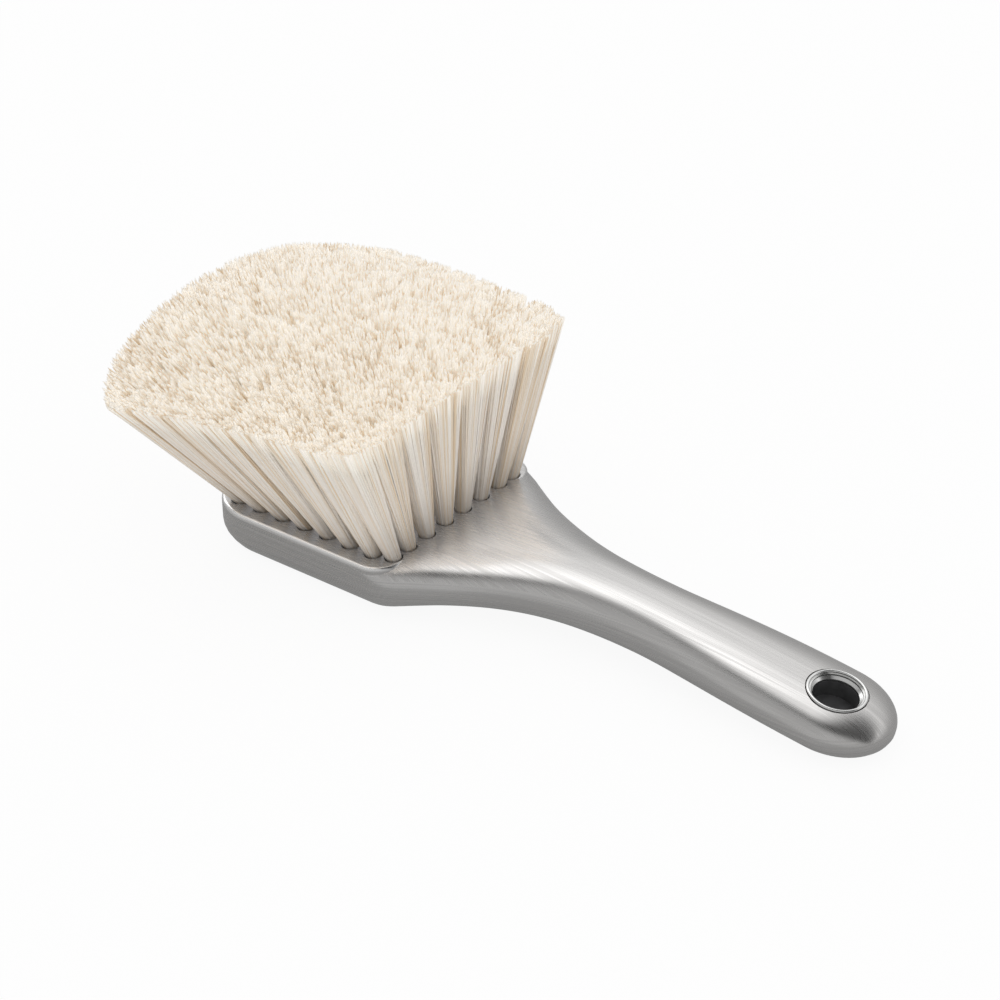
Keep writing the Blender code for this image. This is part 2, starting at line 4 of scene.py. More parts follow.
import bmesh
import bpy
import numpy as np
from bpy.props import FloatProperty, FloatVectorProperty, IntProperty, PointerProperty
from mathutils import Matrix, Vector


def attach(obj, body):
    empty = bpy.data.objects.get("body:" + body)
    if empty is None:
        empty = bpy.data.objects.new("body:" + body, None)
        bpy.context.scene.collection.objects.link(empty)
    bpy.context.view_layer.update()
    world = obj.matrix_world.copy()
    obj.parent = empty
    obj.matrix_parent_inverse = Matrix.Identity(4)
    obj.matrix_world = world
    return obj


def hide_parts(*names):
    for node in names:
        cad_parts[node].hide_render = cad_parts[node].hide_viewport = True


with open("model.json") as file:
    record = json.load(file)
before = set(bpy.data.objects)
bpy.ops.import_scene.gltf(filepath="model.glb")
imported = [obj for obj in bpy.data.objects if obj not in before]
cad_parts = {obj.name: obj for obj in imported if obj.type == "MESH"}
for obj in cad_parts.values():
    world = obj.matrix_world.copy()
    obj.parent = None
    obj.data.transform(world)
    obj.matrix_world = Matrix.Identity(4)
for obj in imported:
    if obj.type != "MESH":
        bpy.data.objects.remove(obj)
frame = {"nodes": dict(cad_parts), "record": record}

bl_info = {
    "name": "Detailing Brush",
    "version": (1, 0, 0),
    "blender": (4, 5, 0),
    "location": "3D View > Sidebar > Brush",
    "description": "Detailing brush with a brushed metal body, bristle tufts and a lined hang socket",
    "category": "Object",
}

BODY = "root"
SIDEBAR_TAB = "Brush"

# Block, measured from the middle of the tuft pattern
HEAD_HALF_WIDTH = 0.0400
HEAD_BACK = 0.0394
HEAD_FRONT = 0.0360
HEAD_THICKNESS = 0.0156
BACK_CORNER_RADIUS = 0.0197
FACE_CORNER_RADIUS = 0.0090
RIM_FILLET = 0.0011
RIM_LEDGE = 0.0001
BOTTOM_FILLET = 0.0080
HEEL_CORNER_SPREAD = 0.0080
FACE_PLATE_DEPTH = 0.0075

# Neck: the plan outline leaves the block round a shoulder and sweeps in to the waist
SHOULDER_START = 0.0289
SHOULDER_RADIUS = 0.0170
FLARE_ANGLE = math.radians(34.0)
FLARE_REACH = 0.0270
WAIST_REACH = 0.0300
WAIST_X = 0.1080
WAIST_HALF_WIDTH = 0.0140
NECK_TOP_START = 0.0220
NECK_UNDER_START = 0.0330
NECK_SHOULDER_WIDTH = 0.0090
NECK_SHOULDER_DROP = 0.0055
NECK_CROWN = 0.0008
NECK_LIFT = 0.0001
CROWN_LENGTH = 0.0200
FLANK_START = 0.0270
FLANK_FULL = 0.0400
FLANK_FADE = 0.0500
FLANK_END = 0.0800
FLANK_DROP = 0.0022
FLANK_WIDTH = 0.0006

# Grip: side curves, end cap and the lines of its top and its underside
GRIP_SWELL_REACH = 0.0120
GRIP_END_REACH = 0.0300
GRIP_END_X = 0.1690
GRIP_END_HALF_WIDTH = 0.0174
END_CAP_LENGTH = 0.0187
GRIP_TIP_X = GRIP_END_X + END_CAP_LENGTH
ROUNDING_LENGTH = 0.0550
TOP_RISE = 0.0050
TOP_DIP = 0.0026
TOP_TIP_DROP = 0.0103
UNDER_RISE = 0.0021
UNDER_DIP = 0.0028
UNDER_TIP_DROP = 0.0084
TOP_ROUND_SHARE = 0.84
UNDER_ROUND_SHARE = 0.88
ROUND_HEIGHT_SHARE = 0.485
SECTION_POWER = 2.15

# Tuft pattern: the two side rows, the corner tufts and the inner rows
SIDE_ROW_MARGIN = 0.0079
SIDE_ROW_BACK_MARGIN = 0.0128
FRONT_ROW_MARGIN = 0.0036
BACK_ROW_MARGIN = 0.0070
CORNER_ROW_BACK_MARGIN = 0.0095
CORNER_STEP_X = 0.0062
CORNER_STEP_Y = 0.0020
PATTERN_SIDE = HEAD_HALF_WIDTH - SIDE_ROW_MARGIN
PATTERN_FRONT = HEAD_FRONT - FRONT_ROW_MARGIN
PATTERN_BACK = BACK_ROW_MARGIN - HEAD_BACK
ROW_PITCH = 0.0092
SIDE_ROW_PITCH = 0.0088
CORNER_ROW_PITCH = 0.0125
INNER_ROW_PITCH = 0.0108

# One tuft's hole, and the fan of the bristles
HOLE_RADIUS = 0.00285
SEAT_GAP = 0.0003
ROOT_LENGTH = 0.0040
BACK_LENGTH = 0.0630
FRONT_LENGTH = 0.0483
SIDE_BACK_TRIM = 0.0046
SIDE_FRONT_EXTRA = 0.0039
EDGE_SPREAD_SHARE = 0.65
FRONT_LEAN_SHARE = 0.00
BACK_LEAN_SHARE = -0.425
SIDE_STRAIGHTEN_SHARE = 0.06
SIDE_LEAN_FRONT_SHARE = 0.40
SIDE_LEAN_BACK_SHARE = 0.565
INNER_LEAN_SHARE = 0.26

# Hang socket: a ring and a cup on one axis, square to the sloping top of the grip
SOCKET_X = 0.1698
SOCKET_SLOPE_SHARE = 0.17
SOCKET_SINK = 0.0003
RING_OUTER_RADIUS = 0.0091
RING_BEAD_WIDTH = 0.0010
RING_BEAD_HEIGHT = 0.0004
RING_GROOVE_DEPTH = 0.0005
RING_STEP_WIDTH = 0.0004
RING_HEIGHT = 0.0021
SOCKET_RADIUS = 0.0069
CUP_WALL = 0.0011
CUP_FLOOR = 0.0010
SOCKET_DEPTH = 0.0078
CUT_OVERRUN = 0.0030

# Facets of the shown body
BACK_STEPS = 2
CORNER_STEPS = 26
SIDE_STEPS = 6
SHOULDER_STEPS = 16
FLARE_STEPS = 44
GRIP_STEPS = 36
CAP_STEPS = 36
ROUND_STEPS = 14
UNDER_STEPS = 9
CROWN_SPANS = 12
RIM_STEPS = 8
HOLE_SIDES = 24
TURN_STEPS = 96
BEAD_STEPS = 13
SHARP_ANGLE = math.radians(35.0)

# Filaments: places along one, from its root to its tip, and its width there as a share
RING_SHARES = (0.0, 0.45, 0.80, 0.985)
WIDTH_SHARES = (0.45, 0.62, 0.88, 1.0)
RING_CORNERS = 4
ROOT_RADIUS = 0.0021
ROOT_DEPTH = 0.0022
FAN_POWER = 1.12
TIP_BEND_POWER = 6
EDGE_BEND_LOSS = 0.5
CELL_SHARE = 0.99
EDGE_NOTCH_SHARE = 0.20
EDGE_EVEN_SHARE = 0.90
BACK_EDGE_ROUND = 0.0055
BACK_EDGE_POWER = 4.9
CLUMPS_ACROSS = 4
CLUMP_DRAW_SHARE = 0.18
SPREAD_STEP = (0.7548776662466927, 0.5698402909980532)
CHANCE_SEED = 11

# Looks of a filament: the attribute that holds its share of the length and its tone, and where
# along these two each effect starts and is full
FILAMENT_LOOKS = "filament"
TIP_COLOUR_PART = (0.55, 0.97)
SHADED_ROOT_PART = (0.0, 0.22)
# Painted glow: where along a filament the tips' glow fades in
GLOWING_PART = (0.80, 0.97)
# Where along a filament the painted reflection fades in: a glow that only the metal's reflections show
REFLECTED_PAINTED_GLOW_PART = (-0.1, 0.6)
# Tones over which shorter filaments turn tan: partly the bristles' own colour, partly painted shade down
# in the gaps
TAN_TONES = (0.62, 0.12)
# Tones over which the tips' painted glow grows, and its share on the darkest tones
GLOWING_TONES = (0.15, 0.75)
DARK_GLOW_SHARE = 0.1

# Brushing lines: fine ones and a share of broad ones
LINE_DETAIL = 3.0
LINE_CONTRAST = (0.3, 0.7)
LINE_RELIEF_SHARE = 0.12
BROAD_LINE_SHARE = 0.15
BROAD_LINE_LENGTHS = 2
BROAD_LINE_WIDTHS = 4
WALL_TO_TOP = (0.56, 0.64)

# Painted highlight on the rounded rim of the tufted face: the heights and the upward slants between
# which it fades in
RIM_HIGHLIGHT_DEPTHS = (-1.4 * RIM_FILLET, -0.9 * RIM_FILLET)
RIM_HIGHLIGHT_TILTS = (0.985, 0.95)

# Wear from handling. On the socket: size of a cloud, share of the colour there, added roughness
WEAR_DETAIL = 4.0
WEAR_CONTRAST = (0.35, 0.65)
BODY_WEAR_SIZE = 0.030
BODY_WEAR_ROUGHNESS = 0.03
RING_WEAR = (0.004, 0.95, 0.06)
CUP_WEAR = (0.003, 1.35, 0.10)

# Studio light from behind the camera (0), past overhead (0.5), to the far wall (1): what lights
# the brush, and what its metal mirrors
EVEN_LIGHT = ((0.0, 0.72), (0.25, 0.85), (0.5, 2.1), (0.75, 1.35), (1.0, 0.60))
MIRRORED_LIGHT = (
    (0.0, 0.30),
    (0.12, 0.33),
    (0.26, 0.30),
    (0.36, 0.24),
    (0.42, 0.03),
    (0.475, 0.10),
    (0.545, 0.95),
    (0.60, 1.20),
    (0.70, 0.98),
    (0.82, 0.76),
    (0.92, 0.42),
    (1.0, 0.22),
)

# Shade in the room beyond the grip's end: where it starts along the body, and where it ends towards
# the camera and towards the far wall, on the scale of the light
SHADE_START = (-0.2, 0.2)
NEAR_SHADE_END = (0.28, 0.42)
FAR_SHADE_END = (0.88, 0.75)
SHORTEST_WAY = 0.0001

# Floor
FLOOR_SIZE = 8.0
FLOOR_ROUGHNESS = 0.9
FLOOR_CLOUD_SCALE = 3.0
FLOOR_CLOUD_SHADE = 0.985

# Camera in the body's own frame: its turn about the upright, and how far down it looks
CAMERA_PLACE = (0.436952, -0.520987, 0.411642)
CAMERA_TURN = math.radians(36.59)
CAMERA_DIP = math.radians(31.63)
SENSOR_WIDTH = 36.0


# Small helpers


def smooth_step(share):
    share = min(max(share, 0.0), 1.0)
    return share * share * (3.0 - 2.0 * share)


def mix(start, end, share):
    return start + (end - start) * share


def cubic(p0, p1, p2, p3, share):
    rest = 1.0 - share
    return rest**3 * p0 + 3 * rest**2 * share * p1 + 3 * rest * share**2 * p2 + share**3 * p3


def body_frame():
    """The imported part's place for the body's own frame, read from the mount on the block's back."""
    mount = frame["record"]["mounts"][0]
    up = -Vector(mount["axis"])
    side = Vector((0, 1, 0))
    along = side.cross(up)
    turn = Matrix((along, side, up)).transposed().to_4x4()
    return Matrix.Translation(Vector(mount["pos_m"]) + up * HEAD_THICKNESS) @ turn


def body_tilt():
    """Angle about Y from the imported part's frame to the body's own frame."""
    along = body_frame().to_3x3().col[0]
    return math.atan2(along.z, along.x)


def clean_mesh(name, bm):
    """A mesh from a closed bmesh with its faces turned outwards."""
    bmesh.ops.recalc_face_normals(bm, faces=bm.faces)
    if bm.calc_volume(signed=True) < 0:
        bmesh.ops.reverse_faces(bm, faces=bm.faces)
    mesh = bpy.data.meshes.new(name)
    bm.to_mesh(mesh)
    bm.free()
    return mesh


def place_piece(obj, node):
    """Move a finished piece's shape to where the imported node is, and let it stand in for that node."""
    obj.data.transform(obj.matrix_world)
    obj.matrix_world = Matrix.Identity(4)
    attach(obj, BODY)
    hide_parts(node)


def new_object(name, data, matrix):
    obj = bpy.data.objects.new(name, data)
    bpy.context.scene.collection.objects.link(obj)
    obj.matrix_world = matrix
    return obj


def smooth_by_angle(mesh):
    mesh.shade_smooth()
    mesh.set_sharp_from_angle(angle=SHARP_ANGLE)


def join_lines(bm, one, two):
    """An open band of faces between two lines of vertices."""
    for j in range(len(one) - 1):
        bm.faces.new((one[j], two[j], two[j + 1], one[j + 1]))


def join_rings(bm, low, high):
    """A closed band of faces between two rings of vertices, which may be one point on an axis."""
    for j in range(len(low)):
        k = (j + 1) % len(low)
        corners = list(dict.fromkeys((low[j], low[k], high[k], high[j])))
        if len(corners) > 2:
            bm.faces.new(corners)


# Plan outline of the body


def arc_points(centre, radii, start, end, steps):
    """Points on an arc after its first one, angles in radians from +X."""
    angles = np.linspace(start, end, steps + 1)[1:]
    return [(centre[0] + radii[0] * math.cos(a), centre[1] + radii[1] * math.sin(a)) for a in angles]


def curve_points(p0, p1, p2, p3, steps):
    """Points on a cubic curve after its first one."""
    corners = [np.array(point) for point in (p0, p1, p2, p3)]
    return [tuple(cubic(*corners, share)) for share in np.linspace(0, 1, steps + 1)[1:]]


def line_points(start, end, steps):
    """Points on a straight line after its first one."""
    shares = np.linspace(0, 1, steps + 1)[1:]
    return [(mix(start[0], end[0], share), mix(start[1], end[1], share)) for share in shares]


def body_half_outline():
    """The body's far half in plan, from the middle of the back edge to the tip of the grip."""
    flat = HEAD_HALF_WIDTH - BACK_CORNER_RADIUS
    corner = (BACK_CORNER_RADIUS - HEAD_BACK, flat)
    points = [(-HEAD_BACK, 0.0)]
    points += line_points(points[-1], (-HEAD_BACK, flat), BACK_STEPS)
    radii = (BACK_CORNER_RADIUS, BACK_CORNER_RADIUS)
    points += arc_points(corner, radii, math.pi, math.pi / 2, CORNER_STEPS)
    points += line_points(points[-1], (NECK_TOP_START, HEAD_HALF_WIDTH), SIDE_STEPS)
    points += line_points(points[-1], (SHOULDER_START, HEAD_HALF_WIDTH), SIDE_STEPS)
    centre = (SHOULDER_START, HEAD_HALF_WIDTH - SHOULDER_RADIUS)
    radii = (SHOULDER_RADIUS, SHOULDER_RADIUS)
    points += arc_points(centre, radii, math.pi / 2, math.pi / 2 - FLARE_ANGLE, SHOULDER_STEPS)
    leave = points[-1]
    reach = (FLARE_REACH * math.cos(FLARE_ANGLE), FLARE_REACH * math.sin(FLARE_ANGLE))
    toward = (leave[0] + reach[0], leave[1] - reach[1])
    waist = (WAIST_X, WAIST_HALF_WIDTH)
    arrive = (WAIST_X - WAIST_REACH, WAIST_HALF_WIDTH)
    points += curve_points(leave, toward, arrive, waist, FLARE_STEPS)
    grip_end = (GRIP_END_X, GRIP_END_HALF_WIDTH)
    after_waist = (WAIST_X + GRIP_SWELL_REACH, WAIST_HALF_WIDTH)
    before_end = (GRIP_END_X - GRIP_END_REACH, GRIP_END_HALF_WIDTH)
    points += curve_points(waist, after_waist, before_end, grip_end, GRIP_STEPS)
    radii = (END_CAP_LENGTH, GRIP_END_HALF_WIDTH)
    points += arc_points((GRIP_END_X, 0.0), radii, math.pi / 2, 0.0, CAP_STEPS)
    points[-1] = (GRIP_TIP_X, 0.0)
    return points


def with_inward_normals(half):
    """Each point of the far half outline with its unit normal towards the inside."""
    mirrored = [(x, -y) for x, y in (half[1], half[-2])]
    padded = np.array([mirrored[0]] + half + [mirrored[1]])
    along = padded[2:] - padded[:-2]
    along /= np.linalg.norm(along, axis=1)[:, None]
    return [(x, y, ty, -tx) for (x, y), (tx, ty) in zip(half, along)]


# Side view of the body: the heights of its top and its underside along the middle


def top_height(x):
    if x <= HEAD_FRONT:
        share = smooth_step((x - NECK_TOP_START) / (HEAD_FRONT - NECK_TOP_START))
        return mix(-RIM_FILLET, NECK_LIFT, share)
    share = (x - HEAD_FRONT) / (GRIP_TIP_X - HEAD_FRONT)
    return cubic(NECK_LIFT, TOP_RISE, -TOP_DIP, -TOP_TIP_DROP, share)


def under_height(x):
    if x <= NECK_UNDER_START:
        return -HEAD_THICKNESS
    share = (x - NECK_UNDER_START) / (GRIP_TIP_X - NECK_UNDER_START)
    return cubic(0.0, UNDER_RISE, -UNDER_DIP, -UNDER_TIP_DROP, share) - HEAD_THICKNESS


def section_shares(x):
    """How far the neck has emerged from the block at x, and how round the grip has become."""
    emerging = smooth_step((x - NECK_TOP_START) / (HEAD_FRONT - NECK_TOP_START))
    return emerging, smooth_step((x - NECK_UNDER_START) / ROUNDING_LENGTH)


def crown_drop(x):
    """How far the neck's top falls from its middle to where its shoulder rounding starts."""
    _, grip = section_shares(x)
    risen = smooth_step((x - HEAD_FRONT) / CROWN_LENGTH)
    return NECK_CROWN * risen * (1.0 - grip)


def flank_share(x):
    """How much deeper the neck's side is rounded off just ahead of the block."""
    risen = smooth_step((x - FLANK_START) / (FLANK_FULL - FLANK_START))
    return risen * (1.0 - smooth_step((x - FLANK_FADE) / (FLANK_END - FLANK_FADE)))


def roundings(x, half_width):
    """Widths and heights of the top and the bottom rounding, at a place along the outline."""
    thickness = top_height(x) - crown_drop(x) - under_height(x)
    emerging, grip = section_shares(x)
    neck_width = mix(RIM_FILLET / 2, NECK_SHOULDER_WIDTH, emerging) + FLANK_WIDTH * flank_share(x)
    neck_drop = mix(RIM_FILLET / 2, NECK_SHOULDER_DROP, emerging) + FLANK_DROP * flank_share(x)
    round_height = thickness * ROUND_HEIGHT_SHARE
    top_width = mix(neck_width, half_width * TOP_ROUND_SHARE, grip)
    low_width = mix(BOTTOM_FILLET, half_width * UNDER_ROUND_SHARE, grip)
    top = (top_width, mix(neck_drop, round_height, grip))
    return top, (low_width, mix(BOTTOM_FILLET, round_height, grip))


def rounded(share_angle):
    """Inset and rise of a rounding, as shares of its width and height."""
    inset = 1.0 - max(math.cos(share_angle), 0.0) ** (2.0 / SECTION_POWER)
    rise = math.sin(share_angle) ** (2.0 / SECTION_POWER)
    return inset, rise


def section_at(point):
    """The body's skin over one outline point, from inside the underside up to inside the top."""
    x, y, nx, ny = point
    in_cap = x > GRIP_END_X
    (top_in, top_drop), (low_in, low_rise) = roundings(x, GRIP_END_HALF_WIDTH if in_cap else y)
    if x < 0:
        # The underside's rounding widens round the heel's corners, so the block rests on its back edge
        low_in += HEEL_CORNER_SPREAD * abs(nx * ny)
    skin = []
    for angle in np.linspace(math.pi / 2, 0, UNDER_STEPS + 1):
        inset, rise = rounded(angle)
        at_x = x + nx * low_in * inset
        z = under_height(at_x) + low_rise * (1.0 - rise)
        skin.append((at_x, y + ny * low_in * inset, z))
    for angle in np.linspace(0, math.pi / 2, ROUND_STEPS + 1):
        inset, rise = rounded(angle)
        at_x = x + nx * top_in * inset
        z = top_height(at_x) - crown_drop(at_x) - top_drop * (1.0 - rise)
        skin.append((at_x, y + ny * top_in * inset, z))
    return skin


def flat_under(x, across):
    return under_height(x)


def crowned_top(x, across):
    return top_height(x) - crown_drop(x) * across**2


def add_cover(bm, far, near, flat_end, height):
    """Close the top or the underside: one flat face over the block, then strips along the grip.

    far and near hold the inner vertices of the two halves, which share their first and last ones.
    """
    first = next(i for i, vert in enumerate(far) if vert.co.x > flat_end) - 1
    bm.faces.new(far[: first + 1] + near[first:0:-1])
    strips = []
    for a, b in zip(far[first + 1 : -1], near[first + 1 : -1]):
        strip = [a]
        for share in np.linspace(0, 1, CROWN_SPANS + 1)[1:-1]:
            across = 1.0 - 2.0 * share
            x, y = a.co.x, a.co.y * across
            strip.append(bm.verts.new((x, y, height(x, across))))
        strips.append(strip + [b])
    # The flat face keeps one straight edge, so the first strip fans out from that edge's ends
    middle = CROWN_SPANS // 2
    for j in range(CROWN_SPANS):
        anchor = far[first] if j < middle else near[first]
        bm.faces.new((anchor, strips[0][j], strips[0][j + 1]))
    bm.faces.new((far[first], strips[0][middle], near[first]))
    for one, two in zip(strips[:-1], strips[1:]):
        join_lines(bm, one, two)
    for j in range(CROWN_SPANS):
        bm.faces.new((strips[-1][j], far[-1], strips[-1][j + 1]))


def build_body_skin():
    """Loft of the block, neck and grip without its tufted face, its holes or its socket."""
    bm = bmesh.new()
    far_rings = []
    near_rings = []
    outline = with_inward_normals(body_half_outline())
    for index, point in enumerate(outline):
        skin = section_at(point)
        on_axis = index in (0, len(outline) - 1)
        if on_axis:
            skin = [(x, 0.0, z) for x, y, z in skin]
        far = [bm.verts.new(place) for place in skin]
        near = far if on_axis else [bm.verts.new((x, -y, z)) for x, y, z in skin]
        far_rings.append(far)
        near_rings.append(near)
    for rings in (far_rings, near_rings):
        for one, two in zip(rings[:-1], rings[1:]):
            join_lines(bm, one, two)
    low_far, low_near = ([ring[0] for ring in rings] for rings in (far_rings, near_rings))
    top_far, top_near = ([ring[-1] for ring in rings] for rings in (far_rings, near_rings))
    add_cover(bm, low_far, low_near, NECK_UNDER_START, flat_under)
    add_cover(bm, top_far, top_near, NECK_TOP_START, crowned_top)
    return bm


def build_face_plate():
    """The raised tufted face with its rounded rim."""
    half_width = HEAD_HALF_WIDTH - RIM_LEDGE
    back = HEAD_BACK - RIM_LEDGE
    back_radius = BACK_CORNER_RADIUS - RIM_LEDGE
    bm = bmesh.new()
    levels = [(0.0, -FACE_PLATE_DEPTH)]
    for angle in np.linspace(0, math.pi / 2, RIM_STEPS + 1):
        levels.append((RIM_FILLET * (1 - math.cos(angle)), -RIM_FILLET * (1 - math.sin(angle))))
    rings = []
    for inset, z in levels:
        back_centre = (back_radius - back, half_width - back_radius)
        front_centre = (HEAD_FRONT - FACE_CORNER_RADIUS, half_width - FACE_CORNER_RADIUS)
        back_round = (back_radius - inset, back_radius - inset)
        front_round = (FACE_CORNER_RADIUS - inset, FACE_CORNER_RADIUS - inset)
        half = [(inset - back, back_centre[1])]
        half += arc_points(back_centre, back_round, math.pi, math.pi / 2, CORNER_STEPS)
        half += [(front_centre[0], half_width - inset)]
        half += arc_points(front_centre, front_round, math.pi / 2, 0.0, CORNER_STEPS)
        full = half + [(x, -y) for x, y in reversed(half)]
        rings.append([bm.verts.new((x, y, z)) for x, y in full])
    for low, high in zip(rings[:-1], rings[1:]):
        join_rings(bm, low, high)
    bm.faces.new(rings[0])
    bm.faces.new(rings[-1])
    return bm


# Tufts


def spaced(first, last, pitch):
    """Even places from first to last, as near to a pitch apart as fits."""
    return np.linspace(first, last, round((last - first) / pitch) + 1)


def tuft_rows():
    """Row by row, each tuft's place (x, y), the half size of its part of the pattern, and which
    way its outer side faces in x and in y, or 0."""
    row_ys = spaced(-PATTERN_SIDE, PATTERN_SIDE, ROW_PITCH)
    side_end = PATTERN_FRONT - CORNER_STEP_X
    side_xs = spaced(SIDE_ROW_BACK_MARGIN - HEAD_BACK, side_end, SIDE_ROW_PITCH)
    corner_xs = spaced(CORNER_ROW_BACK_MARGIN - HEAD_BACK, PATTERN_FRONT, CORNER_ROW_PITCH)
    inner_xs = spaced(PATTERN_BACK, PATTERN_FRONT, INNER_ROW_PITCH)
    half_y = (row_ys[1] - row_ys[0]) / 2 * CELL_SHARE
    rows = []
    for number, y in enumerate(row_ys):
        from_side = min(number, len(row_ys) - 1 - number)
        xs = (side_xs, corner_xs, inner_xs)[min(from_side, 2)]
        half_x = (xs[1] - xs[0]) / 2 * CELL_SHARE
        outward = math.copysign(1.0, y) if from_side == 0 else 0.0
        row = [[x, y, half_x, half_y, 0.0, outward] for x in xs]
        if from_side == 0:
            corner_y = math.copysign(PATTERN_SIDE - CORNER_STEP_Y, y)
            row.append([PATTERN_FRONT, corner_y, half_x, half_y, 1.0, outward])
        row[0][4] = -1.0
        row[-1][4] = 1.0
        rows.append(row)
    return rows


def pattern_shares(x, y):
    """Place in the tuft pattern: 0 to 1 from its back to its front row, -1 to 1 across it."""
    return (x - PATTERN_BACK) / (PATTERN_FRONT - PATTERN_BACK), y / PATTERN_SIDE


def drawn_in(value, limit):
    """The fan spreads less where it has left the outer row behind."""
    beyond = abs(value) - limit
    if beyond <= 0:
        return value
    return math.copysign(limit + beyond * EDGE_SPREAD_SHARE, value)


def bristle_direction(x, y):
    """Unit direction of a bristle that leaves the face at (x, y)."""
    forward, across = pattern_shares(x, y)
    lean_x = mix(BACK_LEAN_SHARE, FRONT_LEAN_SHARE, forward)
    lean_x += SIDE_STRAIGHTEN_SHARE * across**2 * (1.0 - forward)
    lean_y = mix(SIDE_LEAN_BACK_SHARE, SIDE_LEAN_FRONT_SHARE, forward) * across
    lean_y *= 1.0 + INNER_LEAN_SHARE * (1.0 - across**2)
    return Vector((lean_x, lean_y, math.sqrt(1.0 - lean_x**2 - lean_y**2)))


def bristle_tip(x, y, trim=0.0):
    """Where a bristle that leaves the face at (x, y) ends, on the domed brushing surface."""
    forward, across = pattern_shares(x, y)
    length = mix(BACK_LENGTH, FRONT_LENGTH, forward)
    length += mix(-SIDE_BACK_TRIM, SIDE_FRONT_EXTRA, forward) * across**2
    return Vector((x, y, 0.0)) + bristle_direction(x, y) * (length - trim)


def across_axes(direction):
    """Two unit directions square to a tuft's axis, the first level with the grip's side."""
    first = Vector((0, 1, 0)).cross(direction).normalized()
    return first, direction.cross(first)


def past_face(direction, gap):
    """How far along its axis a slanted hole's whole outline is past the face, with a gap."""
    slant = math.sqrt(1.0 - direction.z**2)
    return (HOLE_RADIUS * slant + gap) / direction.z


def hole_outline(centre, axes):
    """Corners of a hole's outline round a point on its axis."""
    angles = [2 * math.pi * k / HOLE_SIDES for k in range(HOLE_SIDES)]
    return [centre + HOLE_RADIUS * (axes[0] * math.cos(a) + axes[1] * math.sin(a)) for a in angles]


def build_hole_cutters():
    """All the slanted blind holes in one shape."""
    bm = bmesh.new()
    for x, y, *_ in [place for row in tuft_rows() for place in row]:
        direction = bristle_direction(x, y)
        axes = across_axes(direction)
        face = Vector((x, y, 0.0))
        depth = past_face(direction, SEAT_GAP) + ROOT_LENGTH + SEAT_GAP
        ends = (face - direction * depth, face + direction * past_face(direction, CUT_OVERRUN))
        low, high = ([bm.verts.new(point) for point in hole_outline(end, axes)] for end in ends)
        bm.faces.new(list(reversed(low)))
        bm.faces.new(high)
        join_rings(bm, low, high)
    return bm


def spread_places(count, start):
    """Evenly scattered places over a square from -1 to 1."""
    steps = np.arange(count)[:, None] * np.array(SPREAD_STEP) + start
    return 2.0 * (steps % 1.0) - 1.0


def back_edge(y):
    """x of the bristles' rounded back edge, as a place on the face."""
    reach = INNER_ROW_PITCH / 2 * EDGE_SPREAD_SHARE
    return PATTERN_BACK - reach + BACK_EDGE_ROUND * abs(y / PATTERN_SIDE) ** BACK_EDGE_POWER


def filament_places(place, spread):
    """Each filament's place in the tuft's part of the pattern, which narrows at the outer side."""
    x, y, half_x, half_y, out_x, out_y = place
    places = []
    for u, v in spread:
        narrow_x = 1.0 - EDGE_NOTCH_SHARE * max(v * out_y, 0.0)
        narrow_y = 1.0 - EDGE_NOTCH_SHARE * max(u * out_x, 0.0) * (out_x > 0)
        at_y = drawn_in(y + v * half_y * narrow_y, PATTERN_SIDE)
        if out_x < 0 and u < 0:
            at_x = x - u * (back_edge(at_y) - x)
        else:
            at_x = drawn_in(x + u * half_x * narrow_x, PATTERN_FRONT)
        places.append((at_x, at_y))
    return places


def filament_roots(place, spread):
    """Root of each filament, packed round in the tuft's hole."""
    x, y = place[:2]
    direction = bristle_direction(x, y)
    axes = np.array(across_axes(direction))
    u, v = spread[:, 0], spread[:, 1]
    in_disc = np.column_stack((u * np.sqrt(1 - v**2 / 2), v * np.sqrt(1 - u**2 / 2)))
    centre = np.array(Vector((x, y, 0.0)) - direction * ROOT_DEPTH)
    return centre + in_disc @ axes * ROOT_RADIUS, centre


def filament_faces(count):
    """Faces of count filaments: a closed root, bands between the rings and a point at the tip."""
    rings = len(RING_SHARES)
    one = [tuple(reversed(range(RING_CORNERS)))]
    for ring in range(rings):
        low = ring * RING_CORNERS
        high = low + RING_CORNERS
        for j in range(RING_CORNERS):
            k = (j + 1) % RING_CORNERS
            upper = (high,) if ring == rings - 1 else (high + k, high + j)
            one.append((low + j, low + k, *upper))
    points = rings * RING_CORNERS + 1
    return [tuple(i * points + corner for corner in face) for i in range(count) for face in one]


